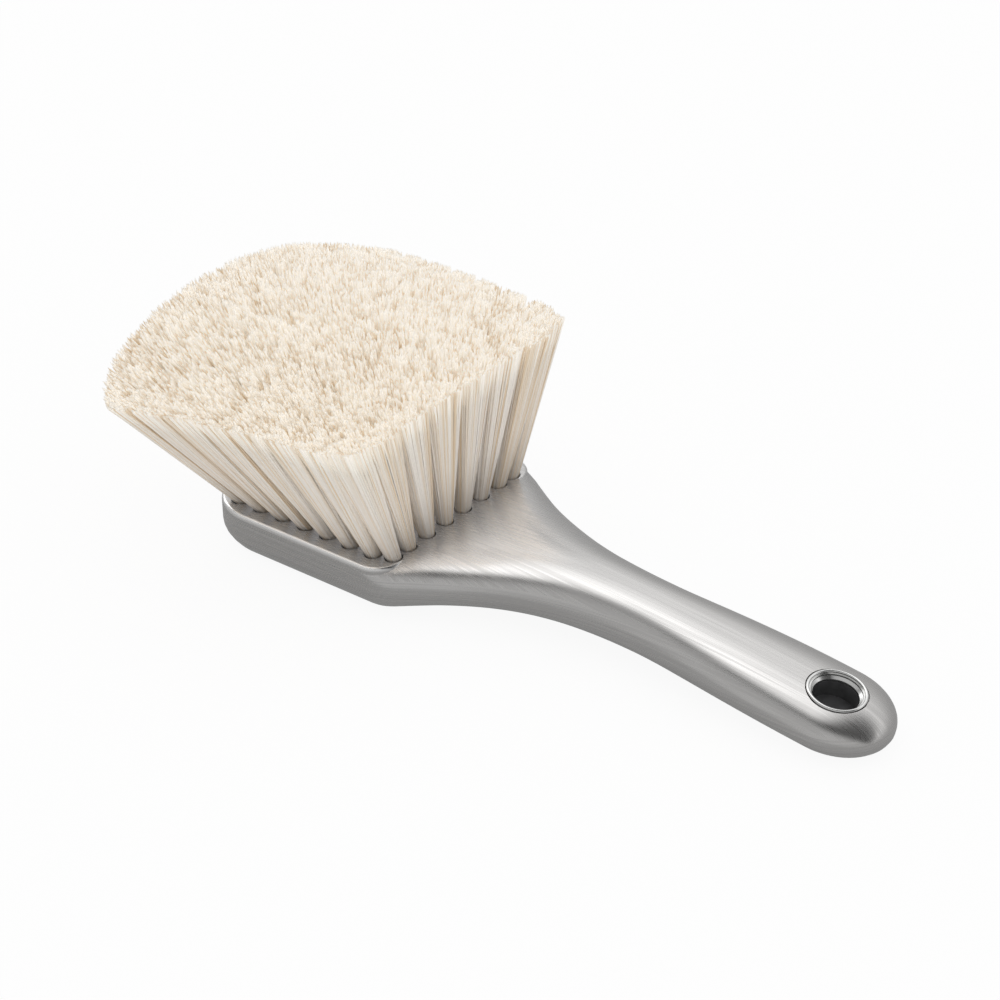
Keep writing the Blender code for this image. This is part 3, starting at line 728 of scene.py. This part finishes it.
def build_tuft_mesh(name, place, look, chance):
    """One tuft of tapered filaments that leave the hole together and fan out."""
    count = look.filaments
    spread = spread_places(count, chance.random(2))
    clump = np.floor((spread + 1.0) / 2.0 * CLUMPS_ACROSS)
    clump_middles = (clump + 0.5) * 2.0 / CLUMPS_ACROSS - 1.0
    clump_number = (clump @ (1, CLUMPS_ACROSS)).astype(int)
    trims = (chance.random(CLUMPS_ACROSS**2) * look.clump_variation)[clump_number]
    trims += chance.random(count) * look.length_variation
    # Shorter filaments get a lower tone, which the material turns tan: partly own colour, partly painted
    # shade in the gaps
    tone = 1.0 - trims / (look.clump_variation + look.length_variation)
    outer = np.clip(spread * place[4:], 0.0, 1.0).max(axis=1)
    trims *= 1.0 - EDGE_EVEN_SHARE * outer**2
    drawn = spread + (clump_middles - spread) * CLUMP_DRAW_SHARE * (1.0 - outer)[:, None]
    starts = filament_places(place, drawn)
    tips = np.array([bristle_tip(*start, trim)[:] for start, trim in zip(starts, trims)])
    roots, root_centre = filament_roots(place, spread)
    tip_centre = np.array(bristle_tip(*place[:2]))
    axes = np.array(across_axes(bristle_direction(*place[:2])))
    stray = look.tip_bend * (1.0 - EDGE_BEND_LOSS * outer)
    bend = chance.normal(0.0, 1.0, (count, 2)) @ axes * stray[:, None]
    twist = chance.random(count) * 2 * math.pi
    widths = look.width * (1.0 + look.width_variation * (chance.random(count) - 0.5))
    shares = np.array(RING_SHARES)
    fans = 1.0 - (1.0 - shares) ** FAN_POWER
    core = root_centre + (tip_centre - root_centre) * shares[:, None]
    root_side = (roots - root_centre)[:, None] * (1.0 - fans)[:, None]
    tip_side = (tips - tip_centre)[:, None] * fans[:, None]
    middles = core + (root_side + tip_side) + bend[:, None] * shares[:, None] ** TIP_BEND_POWER
    angles = twist[:, None] + 2 * math.pi * np.arange(RING_CORNERS) / RING_CORNERS
    turns = np.cos(angles)[..., None] * axes[0] + np.sin(angles)[..., None] * axes[1]
    reach = (widths[:, None] * np.array(WIDTH_SHARES) / 2)[:, :, None, None]
    rings = middles[:, :, None] + turns[:, None] * reach
    ends = (tips + bend)[:, None]
    points = np.concatenate([rings.reshape(count, -1, 3), ends], axis=1)
    mesh = bpy.data.meshes.new(name)
    mesh.from_pydata(points.reshape(-1, 3).tolist(), [], filament_faces(count))
    mesh.shade_smooth()
    along = np.tile(np.append(np.repeat(shares, RING_CORNERS), 1.0), count)
    tone = np.repeat(mix(tone, chance.random(count), look.stray_share), points.shape[1])
    # One attribute for both, because the renderer can lose one of two on some of many meshes
    looks = np.column_stack((along, tone, np.zeros(len(tone)))).astype(np.float32)
    attribute = mesh.attributes.new(FILAMENT_LOOKS, "FLOAT_VECTOR", "POINT")
    attribute.data.foreach_set("vector", looks.ravel())
    return mesh


# Hang socket


def socket_matrix():
    """The socket's own frame: z out of its mouth, the origin in the plane of its ring."""
    axis = Vector((SOCKET_SLOPE_SHARE, 0, 1)).normalized()
    side = Vector((0, 1, 0))
    forward = side.cross(axis)
    turn = Matrix((forward, side, axis)).transposed().to_4x4()
    place = Vector((SOCKET_X, 0, top_height(SOCKET_X) - SOCKET_SINK))
    return Matrix.Translation(place) @ turn


def turned(profile):
    """A closed (radius, height) profile turned about z. Points at radius 0 close it on the axis."""
    bm = bmesh.new()
    rings = []
    for radius, z in profile:
        if radius == 0:
            rings.append([bm.verts.new((0, 0, z))] * TURN_STEPS)
            continue
        angles = [2 * math.pi * k / TURN_STEPS for k in range(TURN_STEPS)]
        rings.append([bm.verts.new((radius * math.cos(a), radius * math.sin(a), z)) for a in angles])
    on_axis = profile[0][0] == 0
    following = rings[1:] if on_axis else rings[1:] + rings[:1]
    for one, two in zip(rings, following):
        join_rings(bm, one, two)
    return bm


def ring_profile():
    """Polished ring: a rounded bead, a fine groove, and a step and slope down to the socket."""
    bead_in = RING_OUTER_RADIUS - RING_BEAD_WIDTH
    bead = []
    for angle in np.linspace(0, math.pi, BEAD_STEPS):
        radius = bead_in + RING_BEAD_WIDTH * (1 + math.cos(angle)) / 2
        bead.append((radius, RING_BEAD_HEIGHT * math.sin(angle)))
    step_in = bead_in - RING_STEP_WIDTH
    return [
        (RING_OUTER_RADIUS, -RING_HEIGHT),
        *bead,
        (bead_in, -RING_GROOVE_DEPTH),
        (step_in, -RING_GROOVE_DEPTH),
        (step_in, -2 * RING_GROOVE_DEPTH),
        (SOCKET_RADIUS, -RING_HEIGHT + RING_STEP_WIDTH),
        (SOCKET_RADIUS, -RING_HEIGHT),
    ]


def cup_profile():
    """Dark cup below the ring: an open can with a flat floor."""
    rim = -RING_HEIGHT - SEAT_GAP
    return [
        (0, -SOCKET_DEPTH - CUP_FLOOR),
        (SOCKET_RADIUS + CUP_WALL, -SOCKET_DEPTH - CUP_FLOOR),
        (SOCKET_RADIUS + CUP_WALL, rim),
        (SOCKET_RADIUS, rim),
        (SOCKET_RADIUS, -SOCKET_DEPTH),
        (0, -SOCKET_DEPTH),
    ]


def socket_cut_profile():
    """Counterbore for the ring and bore for the cup, with the seat gap all round."""
    bottom = -SOCKET_DEPTH - CUP_FLOOR - SEAT_GAP
    bore = SOCKET_RADIUS + CUP_WALL + SEAT_GAP
    ring = RING_OUTER_RADIUS + SEAT_GAP
    return [
        (0, bottom),
        (bore, bottom),
        (bore, -RING_HEIGHT - SEAT_GAP),
        (ring, -RING_HEIGHT - SEAT_GAP),
        (ring, CUT_OVERRUN),
        (0, CUT_OVERRUN),
    ]


# Materials


class NodeWriter:
    """Adds and wires nodes in one node tree."""

    def __init__(self, tree):
        self.tree = tree

    def add(self, kind, **settings):
        node = self.tree.nodes.new(kind)
        for key, value in settings.items():
            setattr(node, key, value)
        return node

    def feed(self, socket, value):
        if isinstance(value, bpy.types.NodeSocket):
            self.tree.links.new(value, socket)
        else:
            socket.default_value = value

    def fed(self, node, values):
        """The node's outputs, after its inputs are fed by name or number."""
        for key, value in values.items():
            self.feed(node.inputs[key], value)
        return node.outputs

    def math(self, operation, *values, clamp=False):
        node = self.add("ShaderNodeMath", operation=operation, use_clamp=clamp)
        return self.fed(node, dict(enumerate(values)))["Value"]

    def times(self, *factors):
        product = factors[0]
        for factor in factors[1:]:
            product = self.math("MULTIPLY", product, factor)
        return product

    def parts(self, vector):
        return self.fed(self.add("ShaderNodeSeparateXYZ"), {0: vector})

    def coordinates(self, kind):
        return self.add("ShaderNodeTexCoord").outputs[kind]

    def noise(self, vector, scale, detail=2.0):
        values = {"Vector": vector, "Scale": scale, "Detail": detail}
        return self.fed(self.add("ShaderNodeTexNoise"), values)["Fac"]

    def ramp(self, value, low, high, start=0.0, end=1.0):
        node = self.add("ShaderNodeMapRange", interpolation_type="SMOOTHSTEP")
        limits = {"From Min": low, "From Max": high, "To Min": start, "To Max": end}
        return self.fed(node, {"Value": value, **limits})["Result"]

    def blend(self, share, first, second):
        """One colour and another, mixed."""
        node = self.add("ShaderNodeMix", data_type="RGBA")
        return self.fed(node, {0: share, 6: first, 7: second})[2]

    def between(self, share, first, second):
        """One value and another, mixed."""
        node = self.add("ShaderNodeMix", data_type="FLOAT")
        return self.fed(node, {0: share, 2: first, 3: second})[0]


def new_group(name, inputs, output):
    """A node group of plain values: its inputs with their defaults, and one output."""
    tree = bpy.data.node_groups.new(name, "ShaderNodeTree")
    for label, value in inputs.items():
        socket = tree.interface.new_socket(name=label, in_out="INPUT", socket_type="NodeSocketFloat")
        socket.default_value = value
    tree.interface.new_socket(name=output, in_out="OUTPUT", socket_type="NodeSocketFloat")
    writer = NodeWriter(tree)
    return writer, writer.add("NodeGroupInput").outputs, writer.add("NodeGroupOutput").inputs[output]


def levelled(writer, vector):
    """X, Y and Z of a place, turned so that the tufted face is level."""
    turn = writer.add("ShaderNodeVectorRotate", rotation_type="Y_AXIS")
    return writer.parts(writer.fed(turn, {"Vector": vector, "Angle": body_tilt()})["Vector"])


def brushed_grain_group():
    """Fine level lines from brushing, drawn out along the body and level round its walls."""
    sizes = {"Line Length": 0.045, "Line Width": 0.0004}
    writer, given, lines = new_group("brushed grain", sizes, "Lines")
    place = levelled(writer, writer.coordinates("Object"))
    along = writer.math("DIVIDE", 1.0, given["Line Length"])
    across = writer.math("DIVIDE", 1.0, given["Line Width"])
    layers = []
    for fine, coarse in (("Z", "Y"), ("Y", "Z")):
        drawn_out = {
            "X": writer.times(place["X"], along),
            "Y": writer.times(place[fine], across),
            "Z": writer.times(place[coarse], along),
        }
        vector = writer.fed(writer.add("ShaderNodeCombineXYZ"), drawn_out)["Vector"]
        layers.append(writer.noise(vector, 1.0, LINE_DETAIL))
    facing = writer.parts(writer.coordinates("Normal"))
    upward = writer.ramp(writer.math("ABSOLUTE", facing["Z"]), *WALL_TO_TOP)
    writer.feed(lines, writer.ramp(writer.between(upward, *layers), *LINE_CONTRAST))
    return writer.tree


def handling_group():
    """Faint cloudy wear from handling, for every hard finish."""
    writer, given, wear = new_group("handling wear", {"Size": 0.012}, "Wear")
    scale = writer.math("DIVIDE", 1.0, given["Size"])
    clouds = writer.noise(writer.coordinates("Object"), scale, WEAR_DETAIL)
    writer.feed(wear, writer.ramp(clouds, *WEAR_CONTRAST))
    return writer.tree


def new_material(name):
    material = bpy.data.materials.new(name)
    material.use_nodes = True
    return material, NodeWriter(material.node_tree), material.node_tree.nodes["Principled BSDF"].inputs


def use_group(writer, group, **values):
    node = writer.add("ShaderNodeGroup", node_tree=group)
    for label, value in values.items():
        node.inputs[label.replace("_", " ")].default_value = value
    return node.outputs[0]


def tinted(colour, share=1.0):
    return tuple(min(part * share, 1.0) for part in colour) + (1.0,)


def rim_highlight_mask(writer):
    """1 on the rounded rim of the tufted face, where the painted highlight goes, 0 elsewhere."""
    moved = writer.add("ShaderNodeVectorMath", operation="SUBTRACT")
    from_face = {0: writer.coordinates("Object"), 1: body_frame().translation}
    place = levelled(writer, writer.fed(moved, from_face)["Vector"])
    facing = writer.parts(writer.coordinates("Normal"))
    high = writer.ramp(place["Z"], *RIM_HIGHLIGHT_DEPTHS)
    tilted = writer.ramp(facing["Z"], *RIM_HIGHLIGHT_TILTS)
    behind = writer.ramp(place["X"], SHOULDER_START + NECK_SHOULDER_WIDTH, SHOULDER_START)
    return writer.times(high, tilted, behind)


def brushed_metal_material(look, grain, wear):
    material, writer, shader = new_material("brushed metal")
    length, width = look.line_length, look.line_width
    fine = use_group(writer, grain, Line_Length=length, Line_Width=width)
    length, width = length * BROAD_LINE_LENGTHS, width * BROAD_LINE_WIDTHS
    broad = use_group(writer, grain, Line_Length=length, Line_Width=width)
    fine_share = writer.times(fine, 1.0 - BROAD_LINE_SHARE)
    lines = writer.math("ADD", fine_share, writer.times(broad, BROAD_LINE_SHARE))
    shader["Metallic"].default_value = 1.0
    dark = tinted(look.colour, 1.0 - look.line_strength)
    pale = tinted(look.colour, 1.0 + look.line_strength)
    # The rim's rounding gets a brighter colour than the metal: a painted highlight
    colour = writer.blend(rim_highlight_mask(writer), writer.blend(lines, dark, pale), tinted(look.rim_highlight_colour))
    writer.feed(shader["Base Color"], colour)
    low, high = look.roughness - look.roughness_spread, look.roughness + look.roughness_spread
    worn = writer.times(use_group(writer, wear, Size=BODY_WEAR_SIZE), BODY_WEAR_ROUGHNESS)
    rough = writer.ramp(lines, 0.0, 1.0, high, low)
    writer.feed(shader["Roughness"], writer.math("ADD", rough, worn))
    relief = {"Strength": LINE_RELIEF_SHARE, "Distance": look.line_relief, "Height": lines}
    writer.feed(shader["Normal"], writer.fed(writer.add("ShaderNodeBump"), relief)["Normal"])
    return material


def worn_material(name, colour, roughness, metallic, group, wear):
    """A plain finish with faint wear, which has a size, a share of the colour and a roughness."""
    material, writer, shader = new_material(name)
    size, shade, rougher = wear
    worn = use_group(writer, group, Size=size)
    shader["Metallic"].default_value = metallic
    writer.feed(shader["Base Color"], writer.blend(worn, tinted(colour), tinted(colour, shade)))
    writer.feed(shader["Roughness"], writer.ramp(worn, 0.0, 1.0, roughness, roughness + rougher))
    return material


def bristle_material(look):
    material, writer, shader = new_material("cream bristle")
    filament = writer.add("ShaderNodeAttribute", attribute_name=FILAMENT_LOOKS)
    looks = writer.parts(filament.outputs["Vector"])
    along, tone = looks["X"], looks["Y"]
    at_tip = writer.ramp(along, *TIP_COLOUR_PART)
    pale = writer.blend(at_tip, tinted(look.stem_colour), tinted(look.tip_colour))
    # Shorter filaments, which end lower down between the others, take more tan: partly the bristles' own
    # colour, partly painted shade in the gaps
    tan_share = writer.ramp(tone, *TAN_TONES, 0.0, look.tan_share)
    coloured = writer.blend(tan_share, pale, tinted(look.tan_colour))
    shade = writer.ramp(along, *SHADED_ROOT_PART, look.root_shade, 1.0)
    shaded = writer.add("ShaderNodeVectorMath", operation="SCALE")
    writer.feed(shader["Base Color"], writer.fed(shaded, {0: coloured, "Scale": shade})["Vector"])
    shader["Roughness"].default_value = look.roughness
    # Painted glow on the tips: it stands in for light that goes on from filament to filament, past the
    # renderer's last bounce
    by_tone = writer.ramp(tone, *GLOWING_TONES, DARK_GLOW_SHARE, 1.0)
    glow = writer.times(writer.ramp(along, *GLOWING_PART), by_tone, look.glow)
    # Painted reflection: seen in the metal, the bristles glow in a paler colour, less at their roots
    mirrored = writer.add("ShaderNodeLightPath").outputs["Is Glossy Ray"]
    by_place = writer.ramp(along, *REFLECTED_PAINTED_GLOW_PART, 0.0, look.reflected_painted_glow)
    strength = writer.math("ADD", glow, writer.times(mirrored, by_place))
    colour = writer.blend(mirrored, coloured, tinted(look.reflected_painted_colour))
    writer.feed(shader["Emission Color"], colour)
    writer.feed(shader["Emission Strength"], strength)
    return material


def ray_kinds(writer):
    """1 for the rays that a shiny or clear surface sends on, and 1 for the camera's own rays."""
    rays = writer.add("ShaderNodeLightPath").outputs
    shiny = writer.math("ADD", rays["Is Glossy Ray"], rays["Is Transmission Ray"], clamp=True)
    return shiny, rays["Is Camera Ray"]


def floor_material(look):
    """Pale floor that keeps a faint shadow: what the camera sees is part paint, part plain white."""
    material, writer, shader = new_material("studio floor")
    cloud = writer.noise(writer.coordinates("Object"), FLOOR_CLOUD_SCALE)
    darker = tinted(look.floor_colour, FLOOR_CLOUD_SHADE)
    writer.feed(shader["Base Color"], writer.blend(cloud, darker, tinted(look.floor_colour)))
    shader["Roughness"].default_value = FLOOR_ROUGHNESS
    shader["Specular IOR Level"].default_value = 0.0
    shiny, camera = ray_kinds(writer)
    surface = material.node_tree.nodes["Principled BSDF"].outputs[0]
    looks = (
        (shiny, look.floor_mirrored_share, look.floor_mirrored),
        (camera, look.floor_white, 1.0),
    )
    for rays, share, strength in looks:
        plain = writer.fed(writer.add("ShaderNodeEmission"), {"Strength": strength})[0]
        mixed = {0: writer.times(rays, share), 1: surface, 2: plain}
        surface = writer.fed(writer.add("ShaderNodeMixShader"), mixed)[0]
    writer.feed(material.node_tree.nodes["Material Output"].inputs["Surface"], surface)
    return material


def light_curve(writer, across, stops):
    """Grey from behind the camera (0), past overhead (0.5), to the far wall (1)."""
    curve = writer.add("ShaderNodeValToRGB")
    curve.color_ramp.interpolation = "B_SPLINE"
    elements = curve.color_ramp.elements
    while len(elements) < len(stops):
        elements.new(0.5)
    for element, (place, level) in zip(elements, stops):
        element.position = place
        element.color = (level, level, level, 1.0)
    writer.feed(curve.inputs[0], across)
    return curve.outputs[0]


def studio_world(look):
    """A soft studio: even light, with panels and dim walls that only reflections show."""
    world = bpy.data.worlds.new("studio")
    world.use_nodes = True
    writer = NodeWriter(world.node_tree)
    world.node_tree.nodes.clear()
    way = writer.parts(writer.coordinates("Generated"))
    y, z = way["Y"], way["Z"]
    squares = writer.math("ADD", writer.times(y, y), writer.times(z, z))
    length = writer.math("MAXIMUM", writer.math("SQRT", squares), SHORTEST_WAY)
    across = writer.math("MULTIPLY_ADD", writer.math("DIVIDE", y, length), 0.5, 0.5)
    overhead = writer.times(writer.ramp(across, *FAR_SHADE_END), writer.ramp(across, *NEAR_SHADE_END))
    shaded = writer.times(writer.ramp(way["X"], *SHADE_START), overhead)
    dimmed = writer.math("MULTIPLY_ADD", shaded, -look.right_shade, 1.0)
    panels = light_curve(writer, across, MIRRORED_LIGHT)
    mirrored = writer.times(panels, dimmed, look.panel_brightness)
    even = writer.times(light_curve(writer, across, EVEN_LIGHT), look.brightness)
    shiny, camera = ray_kinds(writer)
    strength = writer.between(camera, writer.between(shiny, even, mirrored), 1.0)
    background = {"Color": (1.0, 1.0, 1.0, 1.0), "Strength": strength}
    surface = writer.fed(writer.add("ShaderNodeBackground"), background)[0]
    writer.fed(writer.add("ShaderNodeOutputWorld"), {"Surface": surface})
    return world


# Settings that a user may change


def colour_setting(name, description, default):
    return FloatVectorProperty(
        name=name, description=description, default=default, min=0.0, max=1.0, subtype="COLOR"
    )


def share_setting(name, description, default, most=1.0):
    return FloatProperty(
        name=name, description=description, default=default, min=0.0, max=most, subtype="FACTOR"
    )


def light_setting(name, description, default):
    return FloatProperty(name=name, description=description, default=default, min=0.0)


def length_setting(name, description, default, least=0.0):
    return FloatProperty(
        name=name, description=description, default=default, min=least, precision=6,
        subtype="DISTANCE", unit="LENGTH",
    )


class BrushMetalLook(bpy.types.PropertyGroup):
    colour: colour_setting("Metal Colour", "Colour of the brushed metal", (0.62, 0.61, 0.60))
    # The rim's colour is a painted highlight on its rounding
    rim_highlight_colour: colour_setting("Rim Highlight Colour", "Colour of the painted highlight on the tufted face's rim", (0.92, 0.91, 0.90))
    roughness: share_setting("Roughness", "Roughness of the brushed metal", 0.27)
    roughness_spread: share_setting("Roughness Spread", "How far it changes between lines", 0.05, 0.3)
    line_length: length_setting("Line Length", "Length of a brushing line", 0.045, 0.001)
    line_width: length_setting("Line Width", "Width of a brushing line", 0.0004, 0.0001)
    line_strength: share_setting("Line Strength", "How far the lines change the colour", 0.07, 0.5)
    line_relief: length_setting("Line Relief", "Depth of a brushing line", 0.00002)


class BrushSocketLook(bpy.types.PropertyGroup):
    ring_colour: colour_setting("Ring Colour", "Colour of the polished ring", (0.80, 0.80, 0.79))
    ring_roughness: share_setting("Ring Roughness", "Roughness of the polished ring", 0.20)
    cup_colour: colour_setting("Cup Colour", "Colour of the dark cup", (0.055, 0.055, 0.056))
    cup_roughness: share_setting("Cup Roughness", "Roughness of the dark cup", 0.42)


class BrushBristleLook(bpy.types.PropertyGroup):
    filaments: IntProperty(
        name="Filaments", description="Filaments in one tuft", default=400, min=20, max=600
    )
    width: length_setting("Filament Width", "Width of a filament near its tip", 0.00072, 0.0001)
    width_variation: share_setting("Width Variation", "How far widths change by filament", 0.5)
    length_variation: length_setting("Length Variation", "How far lengths change by filament", 0.0022)
    clump_variation: length_setting("Clump Variation", "How far lengths change by clump", 0.0017)
    stray_share: share_setting("Stray Share", "How far a filament's tone leaves its clump's", 0.5)
    tip_bend: length_setting("Tip Bend", "How far a tip strays sideways", 0.00050)
    tip_colour: colour_setting("Tip Colour", "Colour of the bristles at their tips", (1.0, 0.95, 0.87))
    stem_colour: colour_setting("Stem Colour", "Colour below the tips", (0.97, 0.91, 0.84))
    # Tan of the shorter filaments: partly the bristles' own colour, partly painted shade in the gaps
    tan_colour: colour_setting("Tan Colour", "Colour of the darkest bristles", (0.80, 0.585, 0.33))
    tan_share: share_setting("Tan Share", "How tan the darkest bristles are", 0.66)
    root_shade: share_setting("Root Shade", "How bright a bristle is at its root", 0.95)
    # The tips' painted glow, which stands in for light they hand on to each other
    glow: light_setting("Painted Tip Glow", "Light that the tips hand on to each other", 0.125)
    # The painted reflection: a glow of the bristles that only the metal's reflections show
    reflected_painted_colour: colour_setting("Painted Reflection Colour", "Colour of the painted glow that only the metal's reflections show", (0.92, 0.95, 1.0))
    reflected_painted_glow: light_setting("Painted Reflection Glow", "Strength of the painted glow that only the metal's reflections show", 0.5)
    roughness: share_setting("Roughness", "Roughness of a bristle", 0.55)


class BrushStageLook(bpy.types.PropertyGroup):
    lens: FloatProperty(
        name="Lens", description="Focal length of the camera", default=90.0, min=10.0, unit="CAMERA"
    )
    floor_colour: colour_setting("Floor Colour", "Colour of the floor", (0.92, 0.92, 0.92))
    floor_mirrored: light_setting("Mirrored Floor", "Light of the floor that the metal mirrors", 0.32)
    floor_mirrored_share: share_setting("Mirrored Share", "Share of that light in the floor", 0.8)
    floor_white: share_setting("Floor White", "Share of plain white that the camera sees", 0.92)
    brightness: light_setting("Brightness", "Light of the studio on the brush", 1.0)
    panel_brightness: light_setting("Panel Brightness", "Light of the mirrored panels", 1.75)
    right_shade: share_setting("Right Shade", "How dark the room is beyond the grip's end", 0.95)


class BrushSettings(bpy.types.PropertyGroup):
    metal: PointerProperty(type=BrushMetalLook, name="Metal", description="Finish of the body")
    socket: PointerProperty(type=BrushSocketLook, name="Socket", description="Finish of the socket")
    bristle: PointerProperty(type=BrushBristleLook, name="Bristles", description="Looks of the tufts")
    stage: PointerProperty(type=BrushStageLook, name="Stage", description="Camera, floor and light")


# Operators


def shared_group(name, make):
    return bpy.data.node_groups.get(name) or make()


class BRUSH_OT_body(bpy.types.Operator):
    """Build the metal body with its tufted face, its holes and its socket"""

    bl_idname = "detailing_brush.body"
    bl_label = "Build Body"

    def execute(self, context):
        place = body_frame()
        body = new_object("brush_body", clean_mesh("brush_body", build_body_skin()), place)
        cutters = []
        shapes = (
            ("face_plate_shape", "UNION", build_face_plate(), place),
            ("tuft_hole_cutter", "DIFFERENCE", build_hole_cutters(), place),
            ("socket_cutter", "DIFFERENCE", turned(socket_cut_profile()), place @ socket_matrix()),
        )
        for name, operation, bm, matrix in shapes:
            cutter = new_object(name, clean_mesh(name, bm), matrix)
            step = body.modifiers.new(name, "BOOLEAN")
            step.operation = operation
            step.solver = "EXACT"
            step.object = cutter
            cutters.append(cutter)
        context.view_layer.update()
        graph = context.evaluated_depsgraph_get()
        mesh = bpy.data.meshes.new_from_object(body.evaluated_get(graph))
        body.modifiers.clear()
        body.data = mesh
        for cutter in cutters:
            bpy.data.objects.remove(cutter, do_unlink=True)
        holes = sum(len(row) for row in tuft_rows())
        if len(mesh.polygons) < holes * HOLE_SIDES:
            raise RuntimeError("the body has lost its holes")
        smooth_by_angle(mesh)
        weights = body.modifiers.new("even_shading", "WEIGHTED_NORMAL")
        weights.keep_sharp = True
        look = context.scene.detailing_brush.metal
        grain = shared_group("brushed grain", brushed_grain_group)
        wear = shared_group("handling wear", handling_group)
        mesh.materials.clear()
        mesh.materials.append(brushed_metal_material(look, grain, wear))
        place_piece(body, "handle_body")
        return {"FINISHED"}


class BRUSH_OT_socket(bpy.types.Operator):
    """Build the polished ring and the dark cup of the hang socket"""

    bl_idname = "detailing_brush.socket"
    bl_label = "Build Hang Socket"

    def execute(self, context):
        look = context.scene.detailing_brush.socket
        wear = shared_group("handling wear", handling_group)
        matrix = body_frame() @ socket_matrix()
        ring = ("polished ring", look.ring_colour, look.ring_roughness, 1.0, wear, RING_WEAR)
        cup = ("dark cup", look.cup_colour, look.cup_roughness, 0.0, wear, CUP_WEAR)
        parts = (
            ("socket_ring", ring_profile(), ring, "polished_ring", "hang_socket_ring"),
            ("socket_cup", cup_profile(), cup, "dark_cup", "hang_socket_cup"),
        )
        for name, profile, finish, slot, node in parts:
            mesh = clean_mesh(name, turned(profile))
            smooth_by_angle(mesh)
            mesh.materials.append(worn_material(*finish))
            place_piece(new_object(name, mesh, matrix), node)
        return {"FINISHED"}


class BRUSH_OT_bristles(bpy.types.Operator):
    """Build every tuft of bristles"""

    bl_idname = "detailing_brush.bristles"
    bl_label = "Build Bristles"

    def execute(self, context):
        look = context.scene.detailing_brush.bristle
        material = bristle_material(look)
        chance = np.random.default_rng(CHANCE_SEED)
        matrix = body_frame()
        for row_number, row in enumerate(tuft_rows(), start=1):
            for number, place in enumerate(row, start=1):
                node = f"bristle_tuft_row{row_number}_{number}"
                if node not in frame["nodes"]:
                    raise RuntimeError(f"the packed part has no {node}")
                name = f"bristles_row{row_number}_{number}"
                mesh = build_tuft_mesh(name, place, look, chance)
                mesh.materials.append(material)
                place_piece(new_object(name, mesh, matrix), node)
        return {"FINISHED"}


class BRUSH_OT_stage(bpy.types.Operator):
    """Set up the floor, the studio light and the camera"""

    bl_idname = "detailing_brush.stage"
    bl_label = "Build Stage"

    def execute(self, context):
        scene = context.scene
        look = scene.detailing_brush.stage
        half = FLOOR_SIZE / 2
        mesh = bpy.data.meshes.new("studio_floor")
        corners = [(x * half, y * half, 0.0) for x, y in ((-1, -1), (1, -1), (1, 1), (-1, 1))]
        mesh.from_pydata(corners, [], [(0, 1, 2, 3)])
        mesh.materials.append(floor_material(look))
        floor = new_object("studio_floor", mesh, Matrix.Identity(4))
        camera = bpy.data.cameras.new("camera")
        camera.sensor_width = SENSOR_WIDTH
        camera.lens = look.lens
        dip = Matrix.Rotation(math.pi / 2 - CAMERA_DIP, 4, "X")
        turn = Matrix.Rotation(CAMERA_TURN, 4, "Z") @ dip
        view = new_object("camera", camera, body_frame() @ Matrix.Translation(CAMERA_PLACE) @ turn)
        scene.camera = view
        scene.world = studio_world(look)
        scene.view_settings.view_transform = "Standard"
        return {"FINISHED"}


class VIEW3D_PT_detailing_brush(bpy.types.Panel):
    """Steps and settings of the detailing brush"""

    bl_label = "Detailing Brush"
    bl_space_type = "VIEW_3D"
    bl_region_type = "UI"
    bl_category = SIDEBAR_TAB

    def draw(self, context):
        settings = context.scene.detailing_brush
        for operator, look in (
            (BRUSH_OT_body, settings.metal),
            (BRUSH_OT_socket, settings.socket),
            (BRUSH_OT_bristles, settings.bristle),
            (BRUSH_OT_stage, settings.stage),
        ):
            box = self.layout.box()
            box.operator(operator.bl_idname)
            for name in look.__annotations__:
                box.prop(look, name)


CLASSES = (
    BrushMetalLook,
    BrushSocketLook,
    BrushBristleLook,
    BrushStageLook,
    BrushSettings,
    BRUSH_OT_body,
    BRUSH_OT_socket,
    BRUSH_OT_bristles,
    BRUSH_OT_stage,
    VIEW3D_PT_detailing_brush,
)


def register():
    for cls in CLASSES:
        bpy.utils.register_class(cls)
    bpy.types.Scene.detailing_brush = PointerProperty(type=BrushSettings)


def unregister():
    del bpy.types.Scene.detailing_brush
    for cls in reversed(CLASSES):
        bpy.utils.unregister_class(cls)


def main():
    register()
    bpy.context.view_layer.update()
    bpy.ops.detailing_brush.body()
    bpy.ops.detailing_brush.socket()
    bpy.ops.detailing_brush.bristles()
    bpy.ops.detailing_brush.stage()
    bpy.context.view_layer.update()


if __name__ == "__main__":
    main()
